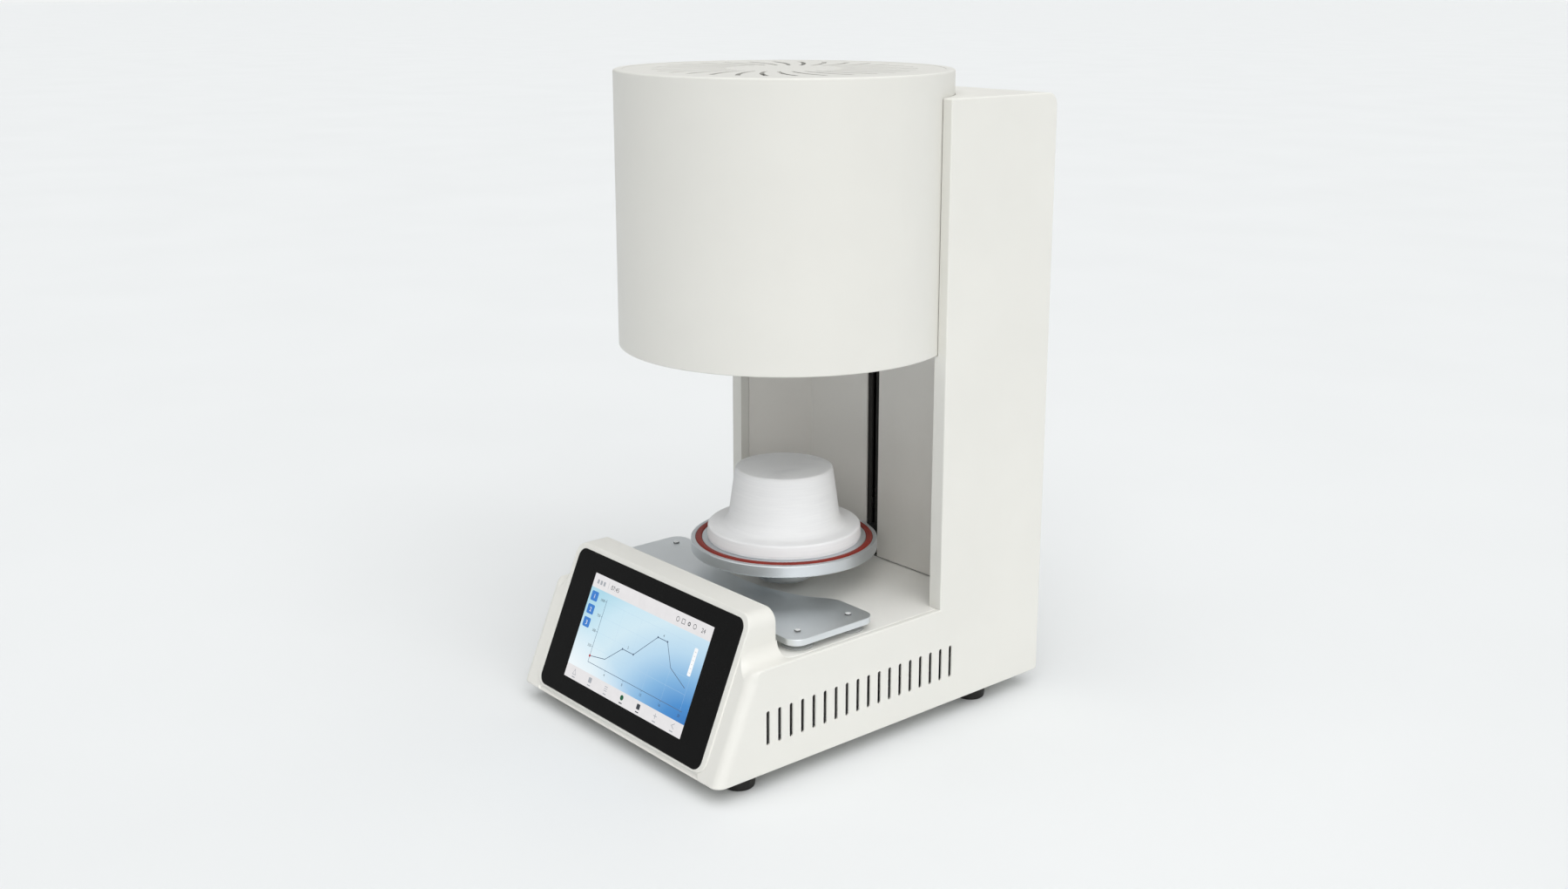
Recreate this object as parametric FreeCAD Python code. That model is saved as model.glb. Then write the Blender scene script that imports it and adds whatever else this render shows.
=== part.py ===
import FreeCAD, Part
import math
import os

V = FreeCAD.Vector

# ---------------------------------------------------------------- dimensions
# All lengths in millimetres.  The working frame has X = 0 on the plane of
# symmetry, Y = 0 on the lift axis (front is -Y) and Z = 0 on the underside of
# the housing; every piece is shifted once, at export, to the final frame
# whose origin is the centre of the footprint at the soles of the feet.
FOOT_H = 14.0            # height of the rubber feet
Y_SHIFT = -4.912          # working frame -> final frame, along Y

WIDTH = 260.0            # housing, side to side
HALF = WIDTH / 2.0
BACK_Y = 167.95          # rear face of the housing
BASE_TOP = 81.54         # top of the base
COL_FRONT = 50.73        # front plane of the column
COL_TOP = 478.46         # top of the column
WALL = 2.5               # housing wall

TILT = math.radians(23.19)      # display leans back from the vertical
GLASS_Y0 = -175.16              # glass plane, carried down to z = 0
GLASS_HALF = 106.33
GLASS_V0, GLASS_V1 = 7.27, 122.19
GLASS_T = 2.0
GLASS_R = 8.0
BEZEL_N = -0.30          # bezel face, behind the glass face
FRONT_N = -1.30          # face of the base either side of the bezel
MOD_HALF = 111.8         # display pod, half width
MOD_TOP = 116.0
MOD_BACK = -102.0
MOD_V0 = 4.9             # lower lip of the bezel, along the slope

HEAD_R = 130.67
HEAD_Z0, HEAD_Z1 = 284.80, 497.16
HEAD_WALL = 1.5

FLANGE_W = 12.4          # front flanges of the column
LIP_END = 59.3           # depth of the flange return
PANEL_Y = 98.4           # flat back of the loading recess
FOLD_X = 78.4
SLOT_HALF = 7.25
ARM_HALF = 2.0           # lift arm, half thickness where it passes the slot

TRAVEL = 162.0           # lift stroke
DISC_R = 76.07
DISC_Z0, DISC_Z1 = 111.84, 121.56
PLINTH_R = 62.7
PLINTH_Z1 = 133.0
PLINTH_TOP = 180.6

SCREW_Y = 134.0          # lift screw and guide rods
ROD_X = 45.0
SCREW_R = 5.0
ROD_R = 6.0

FAN_Z = 402.0
SLOT_N, SLOT_PITCH, SLOT_Y0 = 18, 11.10, -125.78
SLOT_W = 3.2             # width of the side louvres
VENT_WALL = 1.1          # wall left behind the louvres
DECK_GAP = 0.6           # seam round the deck plate
EDGE_R = 1.2             # small rounding of the lower edges
SIDE_R = 8.0             # side edges of the sloping front

PARTS = {}


# ------------------------------------------------------------------- helpers
def box(x0, y0, z0, x1, y1, z1):
    return Part.makeBox(x1 - x0, y1 - y0, z1 - z0, V(x0, y0, z0))


def cyl(x, y, z0, z1, r):
    return Part.makeCylinder(r, z1 - z0, V(x, y, z0), V(0, 0, 1))


def cyl_y(x, z, y0, y1, r):
    return Part.makeCylinder(r, y1 - y0, V(x, y0, z), V(0, 1, 0))


def cyl_x(y, z, x0, x1, r):
    return Part.makeCylinder(r, x1 - x0, V(x0, y, z), V(1, 0, 0))


def ring(x, y, z0, z1, r0, r1):
    return cyl(x, y, z0, z1, r1).cut(cyl(x, y, z0 - 1, z1 + 1, r0))


def rwire(pts, rad, mp):
    """Closed wire of lines with a rounded corner at each point."""
    n = len(pts)
    if not isinstance(rad, (list, tuple)):
        rad = [rad] * n
    ends = []
    for i in range(n):
        p, a, b = pts[i], pts[i - 1], pts[(i + 1) % n]
        r = rad[i]
        if r <= 0:
            ends.append((p, None, p))
            continue
        ua = (a[0] - p[0], a[1] - p[1])
        ub = (b[0] - p[0], b[1] - p[1])
        la, lb = math.hypot(*ua), math.hypot(*ub)
        ua = (ua[0] / la, ua[1] / la)
        ub = (ub[0] / lb, ub[1] / lb)
        ang = math.acos(max(-1, min(1, ua[0] * ub[0] + ua[1] * ub[1])))
        t = r / math.tan(ang / 2)
        d = r / math.sin(ang / 2)
        bis = (ua[0] + ub[0], ua[1] + ub[1])
        lbis = math.hypot(*bis)
        c = (p[0] + bis[0] / lbis * d, p[1] + bis[1] / lbis * d)
        m = (c[0] - bis[0] / lbis * r, c[1] - bis[1] / lbis * r)
        ends.append(((p[0] + ua[0] * t, p[1] + ua[1] * t), m,
                     (p[0] + ub[0] * t, p[1] + ub[1] * t)))
    edges = []
    for i in range(n):
        s, m, e = ends[i]
        if m is not None:
            edges.append(Part.Arc(mp(*s), mp(*m), mp(*e)).toShape())
        nx = ends[(i + 1) % n][0]
        if math.hypot(nx[0] - e[0], nx[1] - e[1]) > 1e-6:
            edges.append(Part.LineSegment(mp(*e), mp(*nx)).toShape())
    return Part.Wire(edges)


def prism(pts, rad, mp, vec):
    return Part.Face(rwire(pts, rad, mp)).extrude(vec)


def xy(z):
    return lambda a, b: V(a, b, z)


def yz(x):
    return lambda a, b: V(x, a, b)


def xz(y):
    return lambda a, b: V(a, y, b)


def slope(u, v, n=0.0):
    """Point in the tilted frame of the display glass."""
    s, c = math.sin(TILT), math.cos(TILT)
    return V(u, GLASS_Y0 + v * s - n * c, v * c + n * s)


NORMAL = V(0, -math.cos(TILT), math.sin(TILT))


def slab(u0, v0, u1, v1, n0, n1, r=0.0):
    """Plate parallel to the display glass."""
    w = rwire([(u0, v0), (u1, v0), (u1, v1), (u0, v1)], r,
              lambda a, b: slope(a, b, n0))
    return Part.Face(w).extrude(NORMAL * (n1 - n0))


def lathe(pts, rad=0.0, x=0.0, y=0.0):
    """Revolve an (r, z) outline about a vertical axis."""
    f = Part.Face(rwire(pts, rad, lambda a, b: V(x + a, y, b)))
    return f.revolve(V(x, y, 0), V(0, 0, 1), 360)


def fillet(shape, r, pick):
    edges = [e for e in shape.Edges if pick(e)]
    if not edges:
        return shape
    try:
        out = shape.makeFillet(r, edges)
        if out.isValid() and out.Volume > 0:
            return out
    except Exception:
        pass
    return shape


def chamfer(shape, r, pick):
    edges = [e for e in shape.Edges if pick(e)]
    if not edges:
        return shape
    try:
        out = shape.makeChamfer(r, edges)
        if out.isValid() and out.Volume > 0:
            return out
    except Exception:
        pass
    return shape


def mid(e):
    return e.valueAt((e.FirstParameter + e.LastParameter) / 2.0)


def near(a, b, tol=0.05):
    return abs(a - b) < tol


def fuse(*shapes):
    out = shapes[0]
    for s in shapes[1:]:
        out = out.fuse(s)
    try:
        out = out.removeSplitter()
    except Exception:
        pass
    return out


def cut(shape, *tools):
    for t in tools:
        shape = shape.cut(t)
    return shape


def clean(shape):
    """Hold a piece as one solid, or a compound of its solids."""
    sol = shape.Solids
    if len(sol) == 1:
        return sol[0]
    return Part.makeCompound(sol)


def put(name, *shapes):
    sol = []
    for s in shapes:
        sol += s.Solids
    if not sol:
        raise RuntimeError("empty piece " + name)
    for s in sol:
        if not s.isValid():
            print("invalid solid in", name)
    PARTS[name] = sol[0] if len(sol) == 1 else Part.makeCompound(sol)


def pan_screw(x, y, z, d, length, head_r, head_h, axis):
    """Pan head fastener: head base at the point, shank along -axis."""
    ax = V(*axis)
    p = V(x, y, z)
    head = Part.makeCylinder(head_r, head_h, p, ax)
    head = fillet(head, head_h * 0.55, lambda e: (mid(e) - p).dot(ax) > head_h * 0.9)
    rec = Part.makeBox(head_r * 1.1, head_r * 0.28, head_h, V(-head_r * 0.55, -head_r * 0.14, 0))
    rec2 = Part.makeBox(head_r * 0.28, head_r * 1.1, head_h, V(-head_r * 0.14, -head_r * 0.55, 0))
    cross = rec.fuse(rec2)
    rot = FreeCAD.Rotation(V(0, 0, 1), ax)
    cross.Placement = FreeCAD.Placement(p + ax * (head_h * 0.45), rot)
    shank = Part.makeCylinder(d / 2.0, length, p, ax * -1)
    return head.cut(cross).fuse(shank).removeSplitter()


def move(shape, dx, dy, dz):
    s = shape.copy()
    s.translate(V(dx, dy, dz))
    return s


def mirror_x(shape):
    return shape.mirror(V(0, 0, 0), V(1, 0, 0))


# -------------------------------------------------------------- main housing
tanT = math.tan(TILT)
front_y0 = GLASS_Y0 - FRONT_N / math.cos(TILT)        # front plane at z = 0


def front_at(z):
    return front_y0 + z * tanT


R_NOSE = 12.0
outer = prism([(front_y0, 0), (front_at(BASE_TOP), BASE_TOP), (COL_FRONT, BASE_TOP),
               (COL_FRONT, COL_TOP), (BACK_Y, COL_TOP), (BACK_Y, 0)],
              [0, R_NOSE, 0, 1.2, 10.0, 3.0], yz(-HALF), V(WIDTH, 0, 0))


def side_edge(e):
    m = mid(e)
    return near(abs(m.x), HALF)


def round_sides(shape):
    """Side edges of the slope: SIDE_R below, drawing in to EDGE_R on top."""
    spec = []
    for i, e in enumerate(shape.Edges, 1):
        m = mid(e)
        if not near(abs(m.x), HALF):
            continue
        a = e.Vertexes[0].Point
        b = e.Vertexes[-1].Point
        if a.z > BASE_TOP + 1 or b.z > BASE_TOP + 1 or m.z < 0.5 or m.y > COL_FRONT:
            continue
        if near(a.z, BASE_TOP, 0.01) and near(b.z, BASE_TOP, 0.01):
            spec.append((i, EDGE_R, EDGE_R))
        elif a.z > BASE_TOP - 12 and b.z > BASE_TOP - 12:
            p0 = e.valueAt(e.FirstParameter)
            low_first = p0.z < m.z
            spec.append((i, SIDE_R if low_first else EDGE_R, EDGE_R if low_first else SIDE_R))
        else:
            spec.append((i, SIDE_R, SIDE_R))
    doc = FreeCAD.newDocument("f")
    base = doc.addObject("Part::Feature", "b")
    base.Shape = shape
    fl = doc.addObject("Part::Fillet", "x")
    fl.Base = base
    fl.Edges = spec
    doc.recompute()
    out = fl.Shape.copy()
    FreeCAD.closeDocument(doc.Name)
    return out


def round_rest(shape):
    """Lower edges, rear corners and column edges, 1.2 mm."""
    pick = []
    for e in shape.Edges:
        m = mid(e)
        a = e.Vertexes[0].Point
        b = e.Vertexes[-1].Point
        on_side = near(abs(a.x), HALF) and near(abs(b.x), HALF) and near(abs(m.x), HALF)
        low = m.z < 0.05 and m.y < BACK_Y - 4
        if low or (on_side and (m.y > COL_FRONT - 1 or m.z < 0.5) and
                   not (near(m.z, BASE_TOP, 0.05) and m.y < COL_FRONT)):
            pick.append(e)
    return shape.makeFillet(EDGE_R, pick)


trial = round_sides(outer)
print("slope edges", trial.isValid(), len(trial.Solids), round(outer.Volume - trial.Volume))
if trial.isValid() and trial.Solids and 0.97 * outer.Volume < trial.Volume < outer.Volume:
    outer = trial
trial = round_rest(outer)
print("other edges", trial.isValid(), len(trial.Solids), round(outer.Volume - trial.Volume))
if trial.isValid() and trial.Solids and 0.97 * outer.Volume < trial.Volume < outer.Volume:
    outer = trial.Solids[0]

# shallow hollow under the lip of the bezel
cove = Part.makeCylinder(2.7, 208.0, slope(-104.0, 3.2, FRONT_N + 1.1), V(1, 0, 0))
for u in (-104.0, 104.0):
    cove = cove.fuse(Part.makeSphere(2.7, slope(u, 3.2, FRONT_N + 1.1)))
cove = cove.cut(slab(-120, -6, 120, 14, FRONT_N, 12))
outer = outer.cut(cove)
print("hollow", outer.isValid(), len(outer.Solids))

# display pod
pod_front_y0 = GLASS_Y0 - BEZEL_N / math.cos(TILT)
v_top = (MOD_TOP + abs(BEZEL_N) * math.sin(TILT)) / math.cos(TILT)
p_low = slope(0, MOD_V0, BEZEL_N)
p_top = V(0, pod_front_y0 + MOD_TOP * tanT, MOD_TOP)
pod = prism([(p_low.y, p_low.z), (p_top.y, p_top.z), (MOD_BACK, MOD_TOP),
             (MOD_BACK, 60.0), (-150.0, 30.0), (-150.0, p_low.z)],
            0.0, yz(-MOD_HALF), V(2 * MOD_HALF, 0, 0))
R_POD = 11.0
pod = fillet(pod, R_POD, lambda e: near(mid(e).z, MOD_TOP) and near(abs(mid(e).x), MOD_HALF))
# lower corners of the bezel
pod = fillet(pod, 11.0, lambda e: near(abs(mid(e).x), MOD_HALF) and near(mid(e).z, p_low.z, 0.02)
             and near(e.Vertexes[0].Point.z, e.Vertexes[-1].Point.z, 0.02))


def on_pod_front(p, tol=0.02):
    q = p - slope(0, 0, BEZEL_N)
    return abs(q.dot(NORMAL)) < tol


def pod_front_edge(e):
    ps = [e.valueAt(e.FirstParameter + (e.LastParameter - e.FirstParameter) * k)
          for k in (0.0, 0.5, 1.0)]
    return all(on_pod_front(p) for p in ps)


pod2 = fillet(pod, 1.1, pod_front_edge)
pod = pod2
pod = fillet(pod, 2.2, lambda e: near(mid(e).y, MOD_BACK, 0.02) and mid(e).z > 95
             and near(e.Vertexes[0].Point.y, MOD_BACK, 0.02)
             and near(e.Vertexes[-1].Point.y, MOD_BACK, 0.02)
             and mid(e).z > 85)

shell = outer.fuse(pod)

# soft hollow where the pod walls meet the shoulders of the base
R_SADDLE = 10.0
arc_c = (front_at(BASE_TOP) + R_NOSE * math.tan((math.pi / 2 - TILT) / 2), BASE_TOP - R_NOSE)


def saddle_face(y_pos, dirn):
    """Cross-section of the hollow: wall, arc and shoulder."""
    x0 = MOD_HALF
    r = R_SADDLE
    base_pt = V(0, y_pos[0], y_pos[1])

    def m(a, b):
        return V(a, base_pt.y + dirn[0] * b, base_pt.z + dirn[1] * b)
    e = [Part.LineSegment(m(x0 - 1.0, -1.0), m(x0 + r, -1.0)).toShape(),
         Part.LineSegment(m(x0 + r, -1.0), m(x0 + r, 0)).toShape(),
         Part.Arc(m(x0 + r, 0), m(x0 + r - r * math.sqrt(0.5), r - r * math.sqrt(0.5)),
                  m(x0, r)).toShape(),
         Part.LineSegment(m(x0, r), m(x0 - 1.0, r)).toShape(),
         Part.LineSegment(m(x0 - 1.0, r), m(x0 - 1.0, -1.0)).toShape()]
    return Part.Face(Part.Wire(e))


fz = saddle_face((arc_c[0], BASE_TOP), (0, 1))
saddle = fz.extrude(V(0, MOD_BACK - arc_c[0], 0))
bend = fz.revolve(V(0, arc_c[0], arc_c[1]), V(1, 0, 0), math.degrees(math.pi / 2 - TILT))
saddle = saddle.fuse(bend)
front_clip = slab(-150, -30, 150, 180, FRONT_N, 60)
saddle = saddle.cut(front_clip)
for s in (saddle, mirror_x(saddle)):
    shell = shell.fuse(s)
shell = shell.removeSplitter()

# soften the front rim of the hollow
before = shell.Volume
shell2 = fillet(shell, 2.5, lambda e: (
    abs((mid(e) - slope(0, 0, FRONT_N)).dot(NORMAL)) < 0.02
    and MOD_HALF + 0.05 < abs(mid(e).x) < MOD_HALF + R_SADDLE + 0.5
    and mid(e).z > BASE_TOP - 9
    and not (abs(e.Vertexes[0].Point.x - e.Vertexes[-1].Point.x) < 1e-3)))
shell = shell2
print("shell valid", shell.isValid(), "solids", len(shell.Solids), round(shell.Volume, 1))

# cavity
cz0 = 3.0
cav_front = lambda z: GLASS_Y0 + 4.9 / math.cos(TILT) + z * tanT
cav = prism([(cav_front(cz0), cz0), (cav_front(BASE_TOP - WALL), BASE_TOP - WALL),
             (COL_FRONT + WALL, BASE_TOP - WALL), (COL_FRONT + WALL, COL_TOP - WALL),
             (BACK_Y - 4.6, COL_TOP - WALL), (BACK_Y - 4.6, cz0)],
            [2.0, 9.0, 0, 0, 7.0, 0], yz(-(HALF - WALL)), V(WIDTH - 2 * WALL, 0, 0))
cav = fillet(cav, 4.0, lambda e: near(abs(mid(e).x), HALF - WALL) and
             mid(e).y < front_at(BASE_TOP) and 10 < mid(e).z < BASE_TOP - 10)
pod_cav = prism([(cav_front(56.0), 56.0), (cav_front(MOD_TOP - 3.0), MOD_TOP - 3.0),
                 (MOD_BACK - 2.5, MOD_TOP - 3.0), (MOD_BACK - 2.5, 56.0)],
                0.0, yz(-(MOD_HALF - 3.0)), V(2 * (MOD_HALF - 3.0), 0, 0))
pod_cav = fillet(pod_cav, 8.5, lambda e: near(mid(e).z, MOD_TOP - 3.0) and
                 near(abs(mid(e).x), MOD_HALF - 3.0))
shell = shell.cut(cav)
shell = shell.cut(pod_cav)

# glass pocket and window
shell = shell.cut(slab(-GLASS_HALF - 0.25, GLASS_V0 - 0.25, GLASS_HALF + 0.25,
                       GLASS_V1 + 0.25, -GLASS_T, 10, GLASS_R + 0.25))
shell = shell.cut(slab(-97.0, 14.0, 97.0, 115.5, -12, 5, 3.0))

# loading recess, head seat and base deck
IN_X = HALF - FLANGE_W                      # inner edge of the front flanges
shell = shell.cut(box(-IN_X, COL_FRONT - 2, 79.0, IN_X, COL_FRONT + 6, HEAD_Z0 + 8))
shell = shell.cut(cyl(0, 0, HEAD_Z0 - 0.6, 520, HEAD_R + 0.5))
lip = box(IN_X, COL_FRONT, BASE_TOP - 2.0, IN_X + 2.0, LIP_END, HEAD_Z0 - 0.6)
for s in (lip, mirror_x(lip)):
    shell = shell.fuse(s)
DECK_X = 125.2
deck_cut = prism([(-DECK_X - DECK_GAP, -104.6), (DECK_X + DECK_GAP, -104.6), (DECK_X + DECK_GAP, COL_FRONT - 0.2),
                  (-DECK_X - DECK_GAP, COL_FRONT - 0.2)], [10.2, 10.2, 0, 0],
                 xy(BASE_TOP - 2.0), V(0, 0, 10))
shell = shell.cut(deck_cut.cut(box(-300, -300, 0, 300, MOD_BACK + 0.001, 300)))
# opening under the deck leaves a ledge for it to rest on
shell = shell.cut(box(-115, -98, 70, 115, 60, 90))

# underside opening, rear flange and rear opening
shell = shell.cut(prism([(-88, -118), (88, -118), (88, 140), (-88, 140)], 6, xy(-2), V(0, 0, 10)))
shell = shell.cut(box(-115, 150, 14, 115, 175, 458))
rear_pocket = prism([(-126.0, 6.5), (126.0, 6.5), (126.0, 467.5), (-126.0, 467.5)], 3.0,
                    xz(BACK_Y - 2.05), V(0, 10, 0))
shell = shell.cut(rear_pocket)

# side louvres
for sx in (-1, 1):
    for i in range(SLOT_N):
        y = SLOT_Y0 + i * SLOT_PITCH
        x0 = sx * HALF - 6
        h = SLOT_W / 2.0
        s = box(x0, y - h, 22.2 + h, x0 + 12, y + h, 48.8 - h)
        s = s.fuse(cyl_x(y, 22.2 + h, x0, x0 + 12, h)).fuse(cyl_x(y, 48.8 - h, x0, x0 + 12, h))
        shell = shell.cut(s)
    y1 = SLOT_Y0 + (SLOT_N - 1) * SLOT_PITCH
    xa, xb = sorted((sx * (HALF - WALL - 1.0), sx * (HALF - VENT_WALL)))
    shell = shell.cut(box(xa, SLOT_Y0 - 6, 17.0, xb, y1 + 6, 54.0))

FEET = [(-108, -136), (108, -136), (-108, 110), (108, 110)]
for fx, fy in FEET:
    shell = shell.cut(cyl(fx, fy, -2, 6, 2.1))
BOT_SCREWS = [(-93, -60), (93, -60), (-93, 60), (93, 60), (0, -123), (0, 145)]
for sx, sy in BOT_SCREWS:
    shell = shell.cut(cyl(sx, sy, -2, 6, 1.7))
REAR_SCREWS = [(-120.5, 20), (120.5, 20), (-120.5, 165), (120.5, 165), (-120.5, 312),
               (120.5, 312), (-120.5, 455), (120.5, 455)]
for sx, sz in REAR_SCREWS:
    shell = shell.cut(cyl_y(sx, sz, 150, 175, 1.5))
put("main_housing", clean(shell))
print("housing solids", len(shell.Solids), PARTS["main_housing"].isValid())

# --------------------------------------------------------------- base pieces
deck = prism([(-DECK_X, -101.9), (DECK_X, -101.9), (DECK_X, COL_FRONT - 0.45),
              (-DECK_X, COL_FRONT - 0.45)], [0, 0, 0, 0], xy(BASE_TOP - 2.0), V(0, 0, 2.0))
round_cut = prism([(-DECK_X, -104.35), (DECK_X, -104.35), (DECK_X, 80), (-DECK_X, 80)],
                  [10, 10, 0, 0], xy(BASE_TOP - 5), V(0, 0, 10))
deck = deck.common(round_cut)
deck = deck.fuse(box(-IN_X + 0.3, COL_FRONT - 1, BASE_TOP - 2.0, IN_X - 0.3, PANEL_Y + 1.2, BASE_TOP))
deck = deck.removeSplitter()
deck = chamfer(deck, 0.5, lambda e: near(mid(e).z, BASE_TOP, 0.01) and near(abs(mid(e).x), DECK_X, 0.01))
put("base_deck", deck)

bottom = prism([(-98, -128), (98, -128), (98, 150), (-98, 150)], 8, xy(3.0), V(0, 0, 1.5))
for sx, sy in BOT_SCREWS:
    bottom = bottom.cut(cyl(sx, sy, 0, 8, 1.5))
for i in range(9):
    x = -60 + i * 15
    for y in (-88,):
        s = box(x - 1.5, y - 14, 0, x + 1.5, y + 14, 10)
        s = s.fuse(cyl(x, y - 14, 0, 10, 1.5)).fuse(cyl(x, y + 14, 0, 10, 1.5))
        bottom = bottom.cut(s)
put("bottom_cover", bottom)
case_screws = [pan_screw(x, y, 0, 3.0, 4.5, 2.8, 2.0, (0, 0, -1)) for x, y in BOT_SCREWS]

feet = []
for fx, fy in FEET:
    f = lathe([(0, 0), (14.0, 0), (13.6, -2.5), (12.0, -FOOT_H), (0, -FOOT_H)],
              [0, 0.8, 0, 1.6, 0], fx, fy)
    f = f.cut(cyl(fx, fy, -FOOT_H - 1, -8, 4.6)).cut(cyl(fx, fy, -20, 2, 2.0))
    feet.append(f)
put("rubber_feet", *feet)
ff = []
for fx, fy in FEET:
    ff.append(pan_screw(fx, fy, -8, 4.0, 16.0, 3.9, 2.6, (0, 0, -1)))
    nut = prism([(3.9 * math.cos(math.radians(60 * k)), 3.9 * math.sin(math.radians(60 * k)))
                 for k in range(6)], 0, lambda a, b, fx=fx, fy=fy: V(fx + a, fy + b, 3.0), V(0, 0, 3.0))
    ff.append(nut.cut(cyl(fx, fy, 0, 8, 2.0)))

# ------------------------------------------------------------ display pieces
glass = slab(-GLASS_HALF, GLASS_V0, GLASS_HALF, GLASS_V1, -GLASS_T, 0, GLASS_R)
glass = chamfer(glass, 0.35, lambda e: abs((mid(e) - slope(0, 0, 0)).dot(NORMAL)) < 0.01)
put("display_glass", glass)
VC = 64.8
put("display_panel", slab(-82.5, VC - 50, 82.5, VC + 50, -GLASS_T - 5.4, -GLASS_T, 1.0))
brk = slab(-94, VC - 49, 94, VC + 49, -GLASS_T - 6.9, -GLASS_T - 5.4, 3.0)
brk = brk.cut(slab(-70, VC - 34, 70, VC + 34, -20, 0, 4.0))
put("display_retainer", brk)
pcb = slab(-66, VC - 36, 66, VC + 36, -19.6, -18.0, 2.0)
comp = [slab(-52, VC - 10, -24, VC + 18, -22.2, -19.6), slab(-10, VC - 20, 16, VC + 6, -21.6, -19.6),
        slab(30, VC - 28, 58, VC - 18, -26.0, -19.6), slab(-58, VC + 24, -30, VC + 32, -25.0, -19.6),
        slab(24, VC + 10, 44, VC + 30, -22.8, -19.6)]
posts = []
for su in (-60, 60):
    for sv in (VC - 31, VC + 31):
        c = Part.makeCylinder(2.6, 18.0 - (GLASS_T + 6.9), slope(su, sv, -18.0), NORMAL)
        posts.append(c)
b = pcb
for c in comp:
    b = b.fuse(c)
put("display_board", b.removeSplitter())

# ------------------------------------------------------------- cooling tray
TRAY_Z0, TRAY_Z1 = 87.4, 92.4


def tray_outline(z):
    xm, yf, yb, rc = 124.5, -96.0, -13.5, 11.0
    q = math.sqrt(0.5)
    e = []
    e.append(Part.LineSegment(V(-xm + rc, yf, z), V(xm - rc, yf, z)).toShape())
    e.append(Part.Arc(V(xm - rc, yf, z), V(xm - rc + rc * q, yf + rc - rc * q, z), V(xm, yf + rc, z)).toShape())
    e.append(Part.LineSegment(V(xm, yf + rc, z), V(xm, yb - rc, z)).toShape())
    e.append(Part.Arc(V(xm, yb - rc, z), V(xm - rc + rc * q, yb - rc + rc * q, z), V(xm - rc, yb, z)).toShape())
    e.append(Part.LineSegment(V(xm - rc, yb, z), V(86, yb, z)).toShape())
    pts = [(86, yb), (74, -17.3), (61, -26.3), (47, -32.6), (30, -37.6), (0, -41.2),
           (-30, -37.6), (-47, -32.6), (-61, -26.3), (-74, -17.3), (-86, yb)]
    bs = Part.BSplineCurve()
    bs.interpolate(Points=[V(a, b, z) for a, b in pts], InitialTangent=V(-1, 0, 0), FinalTangent=V(-1, 0, 0))
    e.append(bs.toShape())
    e.append(Part.LineSegment(V(-86, yb, z), V(-xm + rc, yb, z)).toShape())
    e.append(Part.Arc(V(-xm + rc, yb, z), V(-xm + rc - rc * q, yb - rc + rc * q, z), V(-xm, yb - rc, z)).toShape())
    e.append(Part.LineSegment(V(-xm, yb - rc, z), V(-xm, yf + rc, z)).toShape())
    e.append(Part.Arc(V(-xm, yf + rc, z), V(-xm + rc - rc * q, yf + rc - rc * q, z), V(-xm + rc, yf, z)).toShape())
    return Part.Wire(e)


tray = Part.Face(tray_outline(TRAY_Z0)).extrude(V(0, 0, TRAY_Z1 - TRAY_Z0))
tray = fillet(tray, 0.5, lambda e: near(mid(e).z, TRAY_Z1))
CUPS = [(-109, -28.7), (109, -28.7), (-109, -79.7), (109, -79.7)]
for cx, cy in CUPS:
    tray = tray.cut(cyl(cx, cy, 80, 100, 1.9))
put("cooling_tray", tray)
cups = []
for cx, cy in CUPS:
    c = lathe([(0, 83.2), (6, 82.6), (11.4, BASE_TOP), (12.4, BASE_TOP), (11.8, 83.0), (6.0, 85.4),
               (4.8, TRAY_Z0), (1.8, TRAY_Z0), (1.8, TRAY_Z1), (2.5, TRAY_Z1), (2.5, TRAY_Z1 + 1.2),
               (0, TRAY_Z1 + 1.5)], [0, 0, 0, 0.3, 0, 0, 0, 0, 0, 0, 0.7, 0], cx, cy)
    cups.append(c)
put("tray_cups", *cups)

# ------------------------------------------------------------ column pieces
P0, P1 = (IN_X, LIP_END + 0.2), (FOLD_X, PANEL_Y)


def panel_path(t):
    """Plan outline of the folded recess sheet, of thickness t to the rear."""
    dx, dy = P1[0] - P0[0], P1[1] - P0[1]
    ln = math.hypot(dx, dy)
    nx, ny = -dy / ln, dx / ln           # points to the rear and outwards
    if ny < 0:
        nx, ny = -nx, -ny
    ang = math.atan2(dy, -dx)
    k = t * math.tan(ang / 2.0)
    right_out = [(P0[0] + nx * t, P0[1] + ny * t), (P1[0] + k, P1[1] + t)]
    return ([(-P0[0], P0[1]), (-P1[0], P1[1]), (P1[0], P1[1]), (P0[0], P0[1])] +
            right_out + [(-right_out[1][0], right_out[1][1]), (-right_out[0][0], right_out[0][1])])


pz0, pz1 = BASE_TOP + 1.0, HEAD_Z0 - 0.8
recess = prism(panel_path(1.5), 0, xy(pz0), V(0, 0, pz1 - pz0))
recess = recess.cut(box(-SLOT_HALF, 90, pz0 - 1, SLOT_HALF, 110, 278.0))
put("recess_panel", recess)

strips = []
for s in (-1, 1):
    x_out, x_in = s * 16.0, s * (ARM_HALF + 0.4)
    strips.append(box(min(x_out, x_in), PANEL_Y + 1.5, pz0, max(x_out, x_in), PANEL_Y + 3.3, 281.0))
put("slot_seals", *strips)

# rear cover
PANEL_TOP = 74.0
cover = prism([(-125.7, PANEL_TOP + 0.5), (125.7, PANEL_TOP + 0.5), (125.7, 467.2), (-125.7, 467.2)],
              [0.6, 0.6, 3.0, 3.0], xz(BACK_Y - 2.0), V(0, 2.0, 0))
cover = cover.cut(cyl_y(0, FAN_Z, 150, 180, 37.5))
FAN_HOLES = [(sx * 35.75, FAN_Z + sz * 35.75) for sx in (-1, 1) for sz in (-1, 1)]
for hx, hz in FAN_HOLES:
    cover = cover.cut(cyl_y(hx, hz, 150, 180, 2.1))
INLET_X, INLET_Z = 82.0, 38.0
SW_X, SW_Z = 44.0, 38.0
VAC_X, VAC_Z = -86.0, 24.0
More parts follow.
